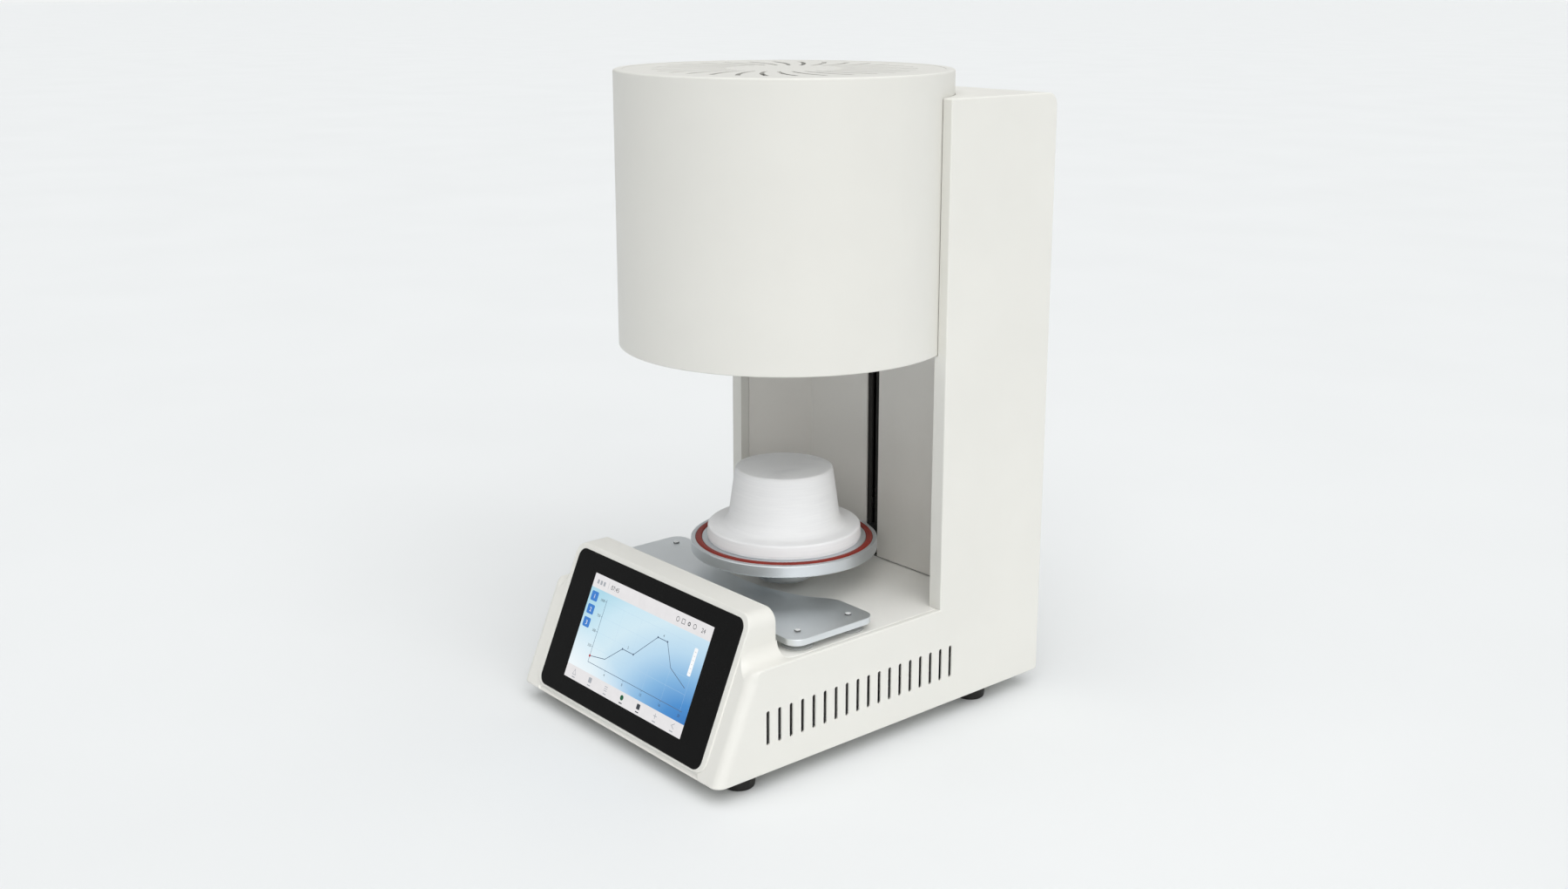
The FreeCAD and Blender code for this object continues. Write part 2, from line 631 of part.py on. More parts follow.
# lower panel for the inlet, the switch and the vacuum fitting
panel = prism([(-125.7, 6.8), (125.7, 6.8), (125.7, PANEL_TOP), (-125.7, PANEL_TOP)],
              [3.0, 3.0, 0.6, 0.6], xz(BACK_Y - 2.0), V(0, 2.0, 0))
panel = panel.fuse(box(-112.0, BACK_Y - 3.6, PANEL_TOP - 7.0, 112.0, BACK_Y - 2.0, PANEL_TOP + 7.0))
panel = panel.removeSplitter()
for sx, sz in REAR_SCREWS:
    if sz < PANEL_TOP:
        panel = panel.cut(cyl_y(sx, sz, 150, 180, 1.6))
    else:
        cover = cover.cut(cyl_y(sx, sz, 150, 180, 1.6))
panel = panel.cut(prism([(INLET_X - 13.7, INLET_Z - 10), (INLET_X + 13.7, INLET_Z - 10),
                         (INLET_X + 13.7, INLET_Z + 10), (INLET_X - 13.7, INLET_Z + 10)],
                        2.0, xz(150), V(0, 30, 0)))
for s in (-1, 1):
    panel = panel.cut(cyl_y(INLET_X + s * 20.0, INLET_Z, 150, 180, 1.75))
panel = panel.cut(box(SW_X - 9.6, 150, SW_Z - 6.5, SW_X + 9.6, 180, SW_Z + 6.5))
panel = panel.cut(cyl_y(VAC_X, VAC_Z, 150, 180, 6.0))
put("connector_panel", panel)
for row in range(12):
    z = 120 + row * 9.0
    for sx in (-1, 0, 1):
        s = box(sx * 62 - 22, 150, z - 1.25, sx * 62 + 22, 180, z + 1.25)
        s = s.fuse(cyl_y(sx * 62 - 22, z, 150, 180, 1.25)).fuse(cyl_y(sx * 62 + 22, z, 150, 180, 1.25))
        cover = cover.cut(s)
put("rear_cover", cover)
case_screws += [pan_screw(x, BACK_Y, z, 3.0, 8.0, 2.9, 1.9, (0, 1, 0)) for x, z in REAR_SCREWS]

# back frame: upright plate with a foot, bolted to the housing floor
frame = box(-88, 157, 6.0, 88, 160, 338)
frame = frame.fuse(box(-88, 122, 4.5, -58, 160, 7.5)).fuse(box(58, 122, 4.5, 88, 160, 7.5))
frame = frame.fuse(box(-58, 157, 4.5, 58, 160, 7.5))
frame = frame.removeSplitter()
for zc in (125, 180, 235):
    frame = frame.cut(prism([(-26, zc - 20), (26, zc - 20), (26, zc + 20), (-26, zc + 20)], 6,
                            xz(150), V(0, 20, 0)))
# clear the inlet, switch and vacuum fitting at the foot of the plate
frame = frame.cut(box(26.5, 150, 10.5, 90, 165, 60)).cut(box(-90, 150, 10.5, -60, 165, 60))
put("back_frame", frame)

# guide rods, bearing blocks
LOW_Z0, LOW_Z1 = 71.0, 84.0
UP_Z0, UP_Z1 = 286.2, 299.0


def bearing_block(z0, z1):
    b = box(-58, 122.0, z0, 58, 157, z1)
    for s in (-1, 1):
        b = b.cut(cyl(s * ROD_X, SCREW_Y, z0 - 1, z1 + 1, ROD_R))
    b = b.cut(cyl(0, SCREW_Y, z0 - 1, z1 + 1, 9.5))
    return chamfer(b, 0.8, lambda e: near(abs(mid(e).x), 58) and near(mid(e).y, 122.0))


put("lower_bearing_block", bearing_block(LOW_Z0, LOW_Z1))
put("upper_bearing_block", bearing_block(UP_Z0, UP_Z1))
bear = []
for z0 in (LOW_Z0 + 2.0, UP_Z0 + 2.0):
    outer_r = ring(0, SCREW_Y, z0, z0 + 8.0, 7.9, 9.5)
    inner_r = ring(0, SCREW_Y, z0, z0 + 8.0, SCREW_R + 0.05, 6.6)
    cage = ring(0, SCREW_Y, z0 + 2.0, z0 + 6.0, 6.6, 7.9)
    bear.append(fuse(outer_r, cage, inner_r))
put("screw_bearings", *bear)
put("guide_rods", *[cyl(s * ROD_X, SCREW_Y, LOW_Z0, UP_Z1, ROD_R) for s in (-1, 1)])

# motor and its bracket
motor = prism([(-21, SCREW_Y - 21), (21, SCREW_Y - 21), (21, SCREW_Y + 21), (-21, SCREW_Y + 21)], 4.0,
              xy(6.0), V(0, 0, 34.0))
motor = motor.fuse(cyl(0, SCREW_Y, 40.0, 42.0, 11.0))
motor = motor.cut(cyl(0, SCREW_Y, 20.0, 60.0, 2.55))
put("lift_motor", motor)
mb = box(-34, SCREW_Y - 23, 40.0, 34, 157, 43.0)
mb = mb.fuse(box(-34, 154, 43.0, 34, 157, 64.0)).removeSplitter()
mb = mb.cut(cyl(0, SCREW_Y, 30, 60, 11.0))
put("motor_bracket", mb)

# screw, coupling and motor shaft turn together
scr = cyl(0, SCREW_Y, 58.0, 300.5, SCREW_R)
scr = chamfer(scr, 0.8, lambda e: near(mid(e).z, 300.5))
put("lead_screw", scr)
put("motor_shaft", cyl(0, SCREW_Y, 21.0, 57.5, 2.5))
cp = cyl(0, SCREW_Y, 45.0, 69.5, 9.5)
cp = cp.cut(cyl(0, SCREW_Y, 40, 57.5, 2.5)).cut(cyl(0, SCREW_Y, 57.5, 80, SCREW_R))
for z in (52.0, 62.0):
    cp = cp.cut(ring(0, SCREW_Y, z, z + 1.0, 7.5, 12))
put("shaft_coupling", cp)

# lift carriage
CAR_Z0, CAR_Z1 = 88.0, 118.5
car = box(-60, 116.5, CAR_Z0, 60, 151.5, CAR_Z1)
for s in (-1, 1):
    car = car.cut(cyl(s * ROD_X, SCREW_Y, CAR_Z0 - 1, CAR_Z1 + 1, 10.5))
car = car.cut(cyl(0, SCREW_Y, CAR_Z0 - 1, CAR_Z1 + 1, 8.0))
car = chamfer(car, 1.2, lambda e: near(abs(mid(e).x), 60) and (near(mid(e).y, 116.5) or near(mid(e).y, 151.5)))
car = car.fuse(box(59, 124, 99.0, 76, 138, 101.0)).removeSplitter()
put("lift_carriage", car)
put("rod_bearings", *[ring(s * ROD_X, SCREW_Y, CAR_Z0, CAR_Z1, ROD_R + 0.04, 10.5) for s in (-1, 1)])
nut = cyl(0, SCREW_Y, CAR_Z0 - 3.0, CAR_Z0, 11.0).fuse(cyl(0, SCREW_Y, CAR_Z0, CAR_Z1 - 2, 8.0))
nut = nut.removeSplitter().cut(cyl(0, SCREW_Y, 50, 150, SCREW_R + 0.05))
put("lift_nut", nut)
arm = box(-ARM_HALF, 0.0, 92.0, ARM_HALF, 112.5, 110.0).fuse(box(-22, 110.5, 90.0, 22, 116.5, 117.0)).removeSplitter()
put("lift_arm", arm)
hub = lathe([(0, 87.0), (21.5, 87.0), (26.0, 90.5), (27.5, 97.0), (30.0, 106.0), (38.0, DISC_Z0), (0, DISC_Z0)],
            [0, 2.0, 2.0, 0, 4.0, 0, 0]).cut(box(-ARM_HALF, 0.0, 92.0, ARM_HALF, 60, 110.0))
put("lift_hub", hub)
disc = lathe([(0, DISC_Z0), (DISC_R, DISC_Z0), (DISC_R, DISC_Z1), (72.6, DISC_Z1), (72.6, DISC_Z1 - 3.4),
              (66.9, DISC_Z1 - 3.4), (66.9, DISC_Z1), (0, DISC_Z1)], [0, 1.0, 0.9, 0, 0, 0, 0, 0])
put("lift_disc", disc)
seal = lathe([(67.0, DISC_Z1 - 3.4), (72.5, DISC_Z1 - 3.4), (72.5, DISC_Z1 + 1.0), (67.0, DISC_Z1 + 1.0)],
             [0, 0, 2.0, 2.0])
put("seal_ring", seal)
plinth = lathe([(0, DISC_Z1), (62.2, DISC_Z1), (PLINTH_R, DISC_Z1 + 3), (PLINTH_R - 0.6, PLINTH_Z1),
                (46.2, PLINTH_Z1 + 0.6), (39.6, PLINTH_TOP), (0, PLINTH_TOP)],
               [0, 0.8, 0, 1.8, 9.0, 2.4, 0])
put("firing_plinth", plinth)

# limit switches, worked by the tab on the carriage
sw = []
for z0 in (86.0, 268.5):
    b = box(70, 144, z0, 80, 157, z0 + 14)
    b = b.fuse(box(73, 139.0, z0 + 9.0, 77, 144.0, z0 + 9.6))
    sw.append(b.removeSplitter())
put("limit_switches", *sw)

# -------------------------------------------------------------- head pieces
hs = lathe([(HEAD_R - HEAD_WALL, HEAD_Z0), (HEAD_R, HEAD_Z0), (HEAD_R, HEAD_Z1), (123.6, HEAD_Z1),
            (123.6, HEAD_Z1 - 2.2), (HEAD_R - HEAD_WALL, HEAD_Z1 - 2.2)],
           [0.4, 1.0, 1.6, 0, 0, 0])
NOTCH = box(-64, 119.5, HEAD_Z0 - 5, 64, 140, UP_Z1 + 2.5)
ARM_CUT = box(-89, 78, 290.8, 89, 140, UP_Z1 + 2.5)
hs = hs.cut(ARM_CUT)
# opening at the back with sides that run towards the axis
gap = Part.Face(Part.makePolygon([V(0, 0, HEAD_Z0 - 5), V(75, 75 * math.sqrt(3), HEAD_Z0 - 5), V(0, 180, HEAD_Z0 - 5),
                                  V(-75, 75 * math.sqrt(3), HEAD_Z0 - 5), V(0, 0, HEAD_Z0 - 5)]))
hs = hs.cut(gap.extrude(V(0, 0, UP_Z1 + 2.5 - HEAD_Z0 + 5)))
put("head_shell", hs)

vent = cyl(0, 0, HEAD_Z1 - 2.2, HEAD_Z1 - 0.1, 123.4)
N_SWIRL = 30
q0, q1 = 46.0, 100.5
for k in range(N_SWIRL):
    a0 = 2 * math.pi * k / N_SWIRL + math.radians(3.0)
    pts = []
    for side, sg in ((0, 1), (1, -1)):
        seq = [0.0, 0.5, 1.0]
        if side:
            seq = seq[::-1]
        for t in seq:
            r = q0 + (q1 - q0) * t
            th = a0 + math.radians(9.5) * t - math.radians(0.8) * math.sin(math.pi * t)
            w = 1.4 + 0.7 * t
            # half width measured square to the local direction of the slit
            tx, ty = math.cos(th), math.sin(th)
            px, py = -ty, tx
            pts.append(V(r * tx + sg * w * px, r * ty + sg * w * py, HEAD_Z1 - 6))
    e = [Part.Arc(pts[0], pts[1], pts[2]).toShape()]

    def cap(p, q, out):
        m = (p + q) * 0.5
        d = V(m.x, m.y, 0)
        d.normalize()
        return Part.Arc(p, m + d * (out * (p - q).Length / 2.0), q).toShape()
    e.append(cap(pts[2], pts[3], 1))
    e.append(Part.Arc(pts[3], pts[4], pts[5]).toShape())
    e.append(cap(pts[5], pts[0], -1))
    slit = Part.Face(Part.Wire(e)).extrude(V(0, 0, 12))
    vent = vent.cut(slit)
put("head_vent", vent)

hb = ring(0, 0, HEAD_Z0 + 0.6, HEAD_Z0 + 3.6, 112.0, HEAD_R - HEAD_WALL)
hb = hb.cut(NOTCH)
put("head_base_plate", hb)
fl = lathe([(65.5, HEAD_Z0), (112.0, HEAD_Z0), (112.0, 292.0), (65.5, 292.0)], [0.8, 0.8, 0, 0])
put("chamber_flange", fl)
brk2 = ring(0, 0, 292.0, 297.0, 96.0, 112.0)
for s in (-1, 1):
    x0, x1 = sorted((s * 62.0, s * 86.0))
    a = box(x0, 60, 292.0, x1, 157, 297.0).cut(cyl(0, 0, 280, 310, 100.0))
    t = box(x0, 152, 297.0, x1, 157, 330.0)
    brk2 = brk2.fuse(a).fuse(t)
put("head_bracket", brk2.removeSplitter())
can = lathe([(93.0, 292.0), (95.0, 292.0), (95.0, 448.0), (0, 448.0), (0, 446.0), (93.0, 446.0)],
            [0, 0, 3.0, 0, 0, 0.8])
TERM = [(52.6, 0.0), (60.5, 0.0)]
TC_R = 3.0
can = can.cut(cyl(0, 0, 440, 460, TC_R + 0.1))
for tx, ty in TERM:
    can = can.cut(cyl(tx, ty, 440, 460, 3.2))
can = can.cut(cyl(-60, 0, 440, 460, 4.0))
put("chamber_can", can)
ins = ring(0, 0, 297.5, 405.0, 55.0, 92.8).cut(box(50, -3.2, 297, 64.0, 3.2, 410))
put("insulation_rings", ring(0, 0, 292.0, 297.5, 64.4, 92.8), ins)
top_ins = cyl(0, 0, 405.0, 440.0, 92.8).cut(cyl(0, 0, 400, 450, TC_R + 0.1))
for tx, ty in TERM:
    top_ins = top_ins.cut(cyl(tx, ty, 400, 450, 1.6))
put("insulation_top", top_ins)
put("quartz_tube", ring(0, 0, 298.0, 404.5, 48.6, 50.6))

coil_r, wire_r, pitch, turns = 52.6, 1.4, 9.0, 10
helix = Part.makeHelix(pitch, pitch * turns, coil_r)
ring_pts = [V(coil_r + wire_r * math.cos(math.radians(30 * k + 15)), 0,
              wire_r * math.sin(math.radians(30 * k + 15))) for k in range(12)]
prof = Part.makePolygon(ring_pts + [ring_pts[0]])
coil = Part.Wire(helix.Edges).makePipeShell([prof], True, True)
coil.translate(V(0, 0, 306.0))
riser_a = cyl(coil_r, 0, 306.0 + pitch * turns + wire_r + 0.3, 462.0, wire_r)
riser_b = cyl(60.5, 0, 303.0, 462.0, wire_r)
link = cyl_x(0, 303.0 - 0.0, coil_r - 1.0, 60.5 - wire_r, 0.9)
put("heating_coil", coil, riser_a, riser_b, link)
tb = [ring(tx, ty, 440.5, 456.0, wire_r, 3.1) for tx, ty in TERM]
put("terminal_bushings", *tb)
tc = cyl(0, 0, 392.0, 452.0, TC_R).fuse(lathe([(0, 452.0), (8, 452.0), (8, 466.0), (0, 466.0)], [0, 0, 2, 0]))
put("thermocouple", tc.removeSplitter())

# ------------------------------------------------- inlet, switch and vacuum
y0 = BACK_Y
inl = prism([(INLET_X - 25, INLET_Z - 11.2), (INLET_X + 25, INLET_Z - 11.2), (INLET_X + 25, INLET_Z + 11.2),
             (INLET_X - 25, INLET_Z + 11.2)], 5.0, xz(y0), V(0, 2.6, 0))
inl = inl.fuse(prism([(INLET_X - 13.4, INLET_Z - 9.7), (INLET_X + 13.4, INLET_Z - 9.7),
                      (INLET_X + 13.4, INLET_Z + 9.7), (INLET_X - 13.4, INLET_Z + 9.7)],
                     2.0, xz(y0 - 20), V(0, 20, 0)))
sock = prism([(INLET_X - 12.0, INLET_Z - 8.2), (INLET_X + 12.0, INLET_Z - 8.2), (INLET_X + 12.0, INLET_Z + 3.2),
              (INLET_X + 7.0, INLET_Z + 8.2), (INLET_X - 7.0, INLET_Z + 8.2), (INLET_X - 12.0, INLET_Z + 3.2)],
             0.8, xz(y0 - 15), V(0, 30, 0))
inl = inl.cut(sock)
for s in (-1, 1):
    inl = inl.cut(cyl_y(INLET_X + s * 20.0, INLET_Z, y0 - 1, y0 + 5, 1.6))
inl = inl.removeSplitter()
put("mains_inlet", inl)
pins = []
for dx, dz in ((-7.0, -2.0), (0.0, 2.0), (7.0, -2.0)):
    pins.append(box(INLET_X + dx - 1.0, y0 - 15, INLET_Z + dz - 2.0, INLET_X + dx + 1.0, y0 - 1.0, INLET_Z + dz + 2.0))
put("inlet_pins", *pins)
case_screws += [pan_screw(INLET_X + s * 20.0, y0 + 2.6, INLET_Z, 3.0, 8.0, 2.7, 1.7, (0, 1, 0)) for s in (-1, 1)]

sf = prism([(SW_X - 11.5, SW_Z - 8.0), (SW_X + 11.5, SW_Z - 8.0), (SW_X + 11.5, SW_Z + 8.0), (SW_X - 11.5, SW_Z + 8.0)],
           1.6, xz(y0), V(0, 2.2, 0))
sf = sf.fuse(box(SW_X - 9.4, y0 - 16, SW_Z - 6.3, SW_X + 9.4, y0, SW_Z + 6.3))
sf = sf.cut(box(SW_X - 8.2, y0 - 9, SW_Z - 5.2, SW_X + 8.2, y0 + 5, SW_Z + 5.2))
sf = sf.cut(cyl_y(SW_X, SW_Z, y0 - 12, y0 - 5, 3.0))
SW_PIV_Y = y0 - 2.6
sf = sf.fuse(cyl(SW_X, SW_PIV_Y, SW_Z - 5.2, SW_Z - 3.7, 1.2)).fuse(cyl(SW_X, SW_PIV_Y, SW_Z + 3.7, SW_Z + 5.2, 1.2))
put("switch_frame", sf.removeSplitter())
# rocker: shown pressed to its left side, pivots about a vertical pin
RK = math.radians(9.0)
rk_pts = [(-7.6, 1.6), (-0.6, 2.9), (0.6, 2.9), (7.6, 1.6), (7.2, -0.6), (3.4, -2.6), (-3.4, -2.6), (-7.2, -0.6)]
rk = prism([(a, b) for a, b in rk_pts], 0.5, lambda a, b: V(SW_X + a, SW_PIV_Y + 0.9 + b, SW_Z - 4.7), V(0, 0, 9.4))
rk = rk.cut(cyl(SW_X, SW_PIV_Y, SW_Z - 6, SW_Z - 3.2, 1.25)).cut(cyl(SW_X, SW_PIV_Y, SW_Z + 3.2, SW_Z + 6, 1.25))
rk.rotate(V(SW_X, SW_PIV_Y, SW_Z), V(0, 0, 1), 9.0)
put("switch_rocker", rk)

# vacuum valve, fitting and pipe
vb = box(VAC_X - 15, 118, 10.0, VAC_X + 15, BACK_Y - 18.0, 34.0)
vb = vb.fuse(cyl(VAC_X, 134, 34.0, 62.0, 11.0)).removeSplitter()
put("vacuum_valve", vb)
vf = lathe([(0, 0), (5.9, 0), (5.9, 18), (8.5, 18), (8.5, 21.5), (4.0, 21.5), (4.0, 33.0), (0, 33.0)],
           [0, 0, 0, 0.6, 0.6, 0, 0.8, 0])
vf = vf.cut(cyl(0, 0, -2, 40, 2.2))
vf.rotate(V(0, 0, 0), V(1, 0, 0), -90)
vf.translate(V(VAC_X, BACK_Y - 18.0, VAC_Z))
put("vacuum_fitting", vf)

# ---------------------------------------------------------------------- fan
fy0, fy1 = 140.6, 165.9
fan = prism([(-40, FAN_Z - 40), (40, FAN_Z - 40), (40, FAN_Z + 40), (-40, FAN_Z + 40)], 5.0,
            xz(fy0), V(0, fy1 - fy0, 0))
fan = fan.cut(cyl_y(0, FAN_Z, fy0 - 1, fy1 + 1, 38.4))
fan = fan.cut(cyl_y(0, FAN_Z, fy0 + 4.0, fy1 - 4.0, 45.0).cut(cyl_y(0, FAN_Z, fy0, fy1, 39.6)))
hub_s = cyl_y(0, FAN_Z, fy1 - 5.0, fy1 - 1.0, 16.0)
for k in range(4):
    a = math.radians(45 + 90 * k)
    st = box(10, fy1 - 5.0, -1.6, 39.0, fy1 - 2.0, 1.6)
    st.rotate(V(0, 0, 0), V(0, 1, 0), math.degrees(a))
    st.translate(V(0, 0, FAN_Z))
    hub_s = hub_s.fuse(st)
fan = fan.fuse(hub_s).removeSplitter()
fan = fan.cut(cyl_y(0, FAN_Z, fy1 - 6, fy1 - 2.5, 2.05))
for hx, hz in FAN_HOLES:
    fan = fan.cut(cyl_y(hx, hz, fy0 - 1, fy1 + 1, 1.9))
put("fan_frame", fan)
rot = cyl_y(0, FAN_Z, fy0 + 1.5, fy1 - 6.0, 16.0)
rot = fillet(rot, 2.0, lambda e: near(mid(e).y, fy0 + 1.5))
for k in range(7):
    bl = box(15.0, fy0 + 3.0, -1.0, 37.0, fy1 - 8.0, 1.0)
    bl = bl.common(cyl_y(0, 0, fy0, fy1, 37.2))
    bl.rotate(V(26, (fy0 + fy1) / 2, 0), V(1, 0, 0), 38)
    bl = bl.common(cyl_y(0, 0, fy0 + 2.0, fy1 - 7.0, 37.2))
    bl.rotate(V(0, 0, 0), V(0, 1, 0), 360.0 / 7 * k)
    bl.translate(V(0, 0, FAN_Z))
    rot = rot.fuse(bl)
rot = rot.fuse(cyl_y(0, FAN_Z, fy1 - 6.0, fy1 - 2.7, 2.0)).removeSplitter()
put("fan_rotor", rot)

guard = None
gy = BACK_Y + 1.2
for rr in (9.0, 18.0, 27.0, 36.0):
    t = Part.makeTorus(rr, 1.0, V(0, gy, FAN_Z), V(0, 1, 0))
    guard = t if guard is None else guard.fuse(t)
for a in (45, -45):
    w = Part.makeCylinder(1.0, 2 * 47.0, V(-47.0, 0, 0), V(1, 0, 0))
    w.rotate(V(0, 0, 0), V(0, 1, 0), a)
    w.translate(V(0, gy + 1.2, FAN_Z))
    guard = guard.fuse(w)
for hx, hz in FAN_HOLES:
    ey = Part.makeCylinder(4.2, 2.4, V(hx, BACK_Y, hz), V(0, 1, 0))
    guard = guard.fuse(ey)
for hx, hz in FAN_HOLES:
    guard = guard.cut(cyl_y(hx, hz, BACK_Y - 1, BACK_Y + 6, 1.9))
put("fan_guard", clean(guard))
case_screws += [pan_screw(x, BACK_Y + 2.4, z, 3.8, 29.0, 3.4, 1.6, (0, 1, 0)) for x, z in FAN_HOLES]
put("fasteners", *(case_screws + ff))

# -------------------------------------------------------------- electronics
cb = box(-92, -112, 14.0, -8, 6, 15.6)
parts_cb = [box(-84, -100, 15.6, -56, -72, 20.0), cyl(-74, -50, 15.6, 34.0, 8.0), cyl(-74, -30, 15.6, 34.0, 8.0),
            box(-50, -98, 15.6, -18, -88, 26.0), box(-48, -70, 15.6, -28, -50, 18.5), box(-46, -30, 15.6, -22, -12, 30.0),
            box(-84, -12, 15.6, -58, 0, 27.0)]
for p in parts_cb:
    cb = cb.fuse(p)
put("control_board", cb.removeSplitter())
put("board_standoffs", *(posts + [cyl(x, y, 4.5, 14.0, 2.8) for x in (-87, -13) for y in (-107, 1)]))
ps = prism([(8, -112), (92, -112), (92, 8), (8, 8)], 2.0, xy(4.5), V(0, 0, 38.0))
for i in range(9):
    for j in range(5):
        ps = ps.cut(cyl(18 + i * 8, -30 + j * 7, 38, 45, 2.2))
put("power_supply", ps)
hsk = box(34, 30, 4.5, 84, 90, 10.0)
for i in range(9):
    x = 36 + i * 5.6
    hsk = hsk.fuse(box(x, 30, 10.0, x + 1.6, 90, 32.0))
put("relay_heatsink", hsk.removeSplitter())
rl = prism([(10, 38), (33.6, 38), (33.6, 82), (10, 82)], 2.0, xy(4.5), V(0, 0, 25))
put("heater_relay", rl)

# ------------------------------------------------------------------- export
os.makedirs("parts", exist_ok=True)
lo = [1e9] * 3
hi = [-1e9] * 3
total = 0
for name in sorted(PARTS):
    s = PARTS[name].copy()
    s.translate(V(0, Y_SHIFT, FOOT_H))
    s.exportStep("parts/" + name + ".step")
    bb = s.optimalBoundingBox(False, False)
    for i, (a, b) in enumerate(((bb.XMin, bb.XMax), (bb.YMin, bb.YMax), (bb.ZMin, bb.ZMax))):
        lo[i] = min(lo[i], a)
        hi[i] = max(hi[i], b)
    total += 1
    print("%-20s n%2d %s vol %8.0f x %7.1f %7.1f y %7.1f %7.1f z %6.1f %6.1f" % (
        name, len(s.Solids), s.isValid(), s.Volume, bb.XMin, bb.XMax, bb.YMin, bb.YMax, bb.ZMin, bb.ZMax))
print("pieces", total)
print("box", [round(v, 3) for v in lo], [round(v, 3) for v in hi])
print("size", [round(hi[i] - lo[i], 3) for i in range(3)], "y centre", round((lo[1] + hi[1]) / 2, 3))
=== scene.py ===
import bpy
import bmesh
import math
from mathutils import Vector, Matrix


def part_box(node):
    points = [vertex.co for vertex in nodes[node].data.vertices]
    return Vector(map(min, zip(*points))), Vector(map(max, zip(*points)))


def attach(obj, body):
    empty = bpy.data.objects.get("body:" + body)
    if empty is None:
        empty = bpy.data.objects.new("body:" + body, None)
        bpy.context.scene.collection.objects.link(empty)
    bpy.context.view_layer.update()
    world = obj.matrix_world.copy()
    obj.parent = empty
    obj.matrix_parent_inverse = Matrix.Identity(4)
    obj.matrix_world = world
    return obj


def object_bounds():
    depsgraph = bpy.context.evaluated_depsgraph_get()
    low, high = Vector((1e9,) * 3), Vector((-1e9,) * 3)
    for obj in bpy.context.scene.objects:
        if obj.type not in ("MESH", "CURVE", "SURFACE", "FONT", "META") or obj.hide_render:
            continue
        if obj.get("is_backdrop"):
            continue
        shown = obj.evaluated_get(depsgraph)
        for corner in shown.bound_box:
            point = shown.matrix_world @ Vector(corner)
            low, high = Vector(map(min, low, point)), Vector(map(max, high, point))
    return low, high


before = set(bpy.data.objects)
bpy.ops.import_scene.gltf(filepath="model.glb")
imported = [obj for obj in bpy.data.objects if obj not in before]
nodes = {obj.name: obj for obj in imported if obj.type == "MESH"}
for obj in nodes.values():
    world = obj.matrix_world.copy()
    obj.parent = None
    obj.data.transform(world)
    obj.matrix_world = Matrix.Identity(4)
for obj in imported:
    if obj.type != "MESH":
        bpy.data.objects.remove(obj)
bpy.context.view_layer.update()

# ------------------------------------------------------------- working frame
# Lengths below are in millimetres in the working frame of the part's source
# (Y = 0 on the lift axis, Z = 0 on the underside of the housing).
Y_SHIFT = -4.912
FOOT_H = 14.0


def W(x, y, z):
    return Vector((x / 1000.0, (y + Y_SHIFT) / 1000.0, (z + FOOT_H) / 1000.0))


TILT = math.radians(23.19)
GLASS_Y0 = -175.16
SN, CS = math.sin(TILT), math.cos(TILT)


def S(u, v, n=0.0):
    """Point in the tilted frame of the display glass."""
    return W(u, GLASS_Y0 + v * SN - n * CS, v * CS + n * SN)


# ------------------------------------------------------------ node utilities
class Mat:
    """Small helper that builds a procedural material round one shader."""

    def __init__(self, name):
        self.m = bpy.data.materials.new(name)
        self.m.use_nodes = True
        self.t = self.m.node_tree
        self.b = self.t.nodes["Principled BSDF"]
        self.tc = self.t.nodes.new("ShaderNodeTexCoord")

    def set(self, **kw):
        for k, v in kw.items():
            self.b.inputs[k.replace("_", " ")].default_value = v
        return self

    def n(self, kind, **props):
        nd = self.t.nodes.new(kind)
        for k, v in props.items():
            setattr(nd, k, v)
        return nd

    def link(self, a, b):
        self.t.links.new(a, b)

    def coords(self, scale=(1, 1, 1), rot=(0, 0, 0), loc=(0, 0, 0)):
        mp = self.n("ShaderNodeMapping")
        mp.inputs["Scale"].default_value = scale
        mp.inputs["Rotation"].default_value = rot
        mp.inputs["Location"].default_value = loc
        self.link(self.tc.outputs["Object"], mp.inputs["Vector"])
        return mp.outputs["Vector"]

    def noise(self, vec, scale, detail=2.0, rough=0.5, dist=0.0):
        nz = self.n("ShaderNodeTexNoise")
        nz.inputs["Scale"].default_value = scale
        nz.inputs["Detail"].default_value = detail
        nz.inputs["Roughness"].default_value = rough
        nz.inputs["Distortion"].default_value = dist
        self.link(vec, nz.inputs["Vector"])
        return nz.outputs["Fac"]

    def ramp(self, fac, stops):
        r = self.n("ShaderNodeValToRGB")
        el = r.color_ramp.elements
        while len(el) > 1:
            el.remove(el[0])
        el[0].position, el[0].color = stops[0]
        for p, c in stops[1:]:
            e = el.new(p)
            e.color = c
        self.link(fac, r.inputs["Fac"])
        return r.outputs["Color"]

    def remap(self, fac, a, b, lo, hi):
        r = self.n("ShaderNodeMapRange")
        r.inputs["From Min"].default_value = a
        r.inputs["From Max"].default_value = b
        r.inputs["To Min"].default_value = lo
        r.inputs["To Max"].default_value = hi
        self.link(fac, r.inputs["Value"])
        return r.outputs["Result"]

    def math(self, op, a, b=None):
        nd = self.n("ShaderNodeMath", operation=op)
        for i, x in enumerate((a, b)):
            if x is None:
                continue
            if isinstance(x, (int, float)):
                nd.inputs[i].default_value = x
            else:
                self.link(x, nd.inputs[i])
        return nd.outputs["Value"]

    def bump(self, height, strength=0.1, dist=0.0002, normal=None):
        bp = self.n("ShaderNodeBump")
        bp.inputs["Strength"].default_value = strength
        bp.inputs["Distance"].default_value = dist
        self.link(height, bp.inputs["Height"])
        if normal is not None:
            self.link(normal, bp.inputs["Normal"])
        return bp.outputs["Normal"]


def srgb(r, g, b, a=1.0):
    def f(c):
        c /= 255.0
        return c / 12.92 if c <= 0.04045 else ((c + 0.055) / 1.055) ** 2.4
    return (f(r), f(g), f(b), a)


def mixc(c, k):
    return tuple(max(0.0, min(1.0, x * k)) for x in c[:3]) + (1.0,)


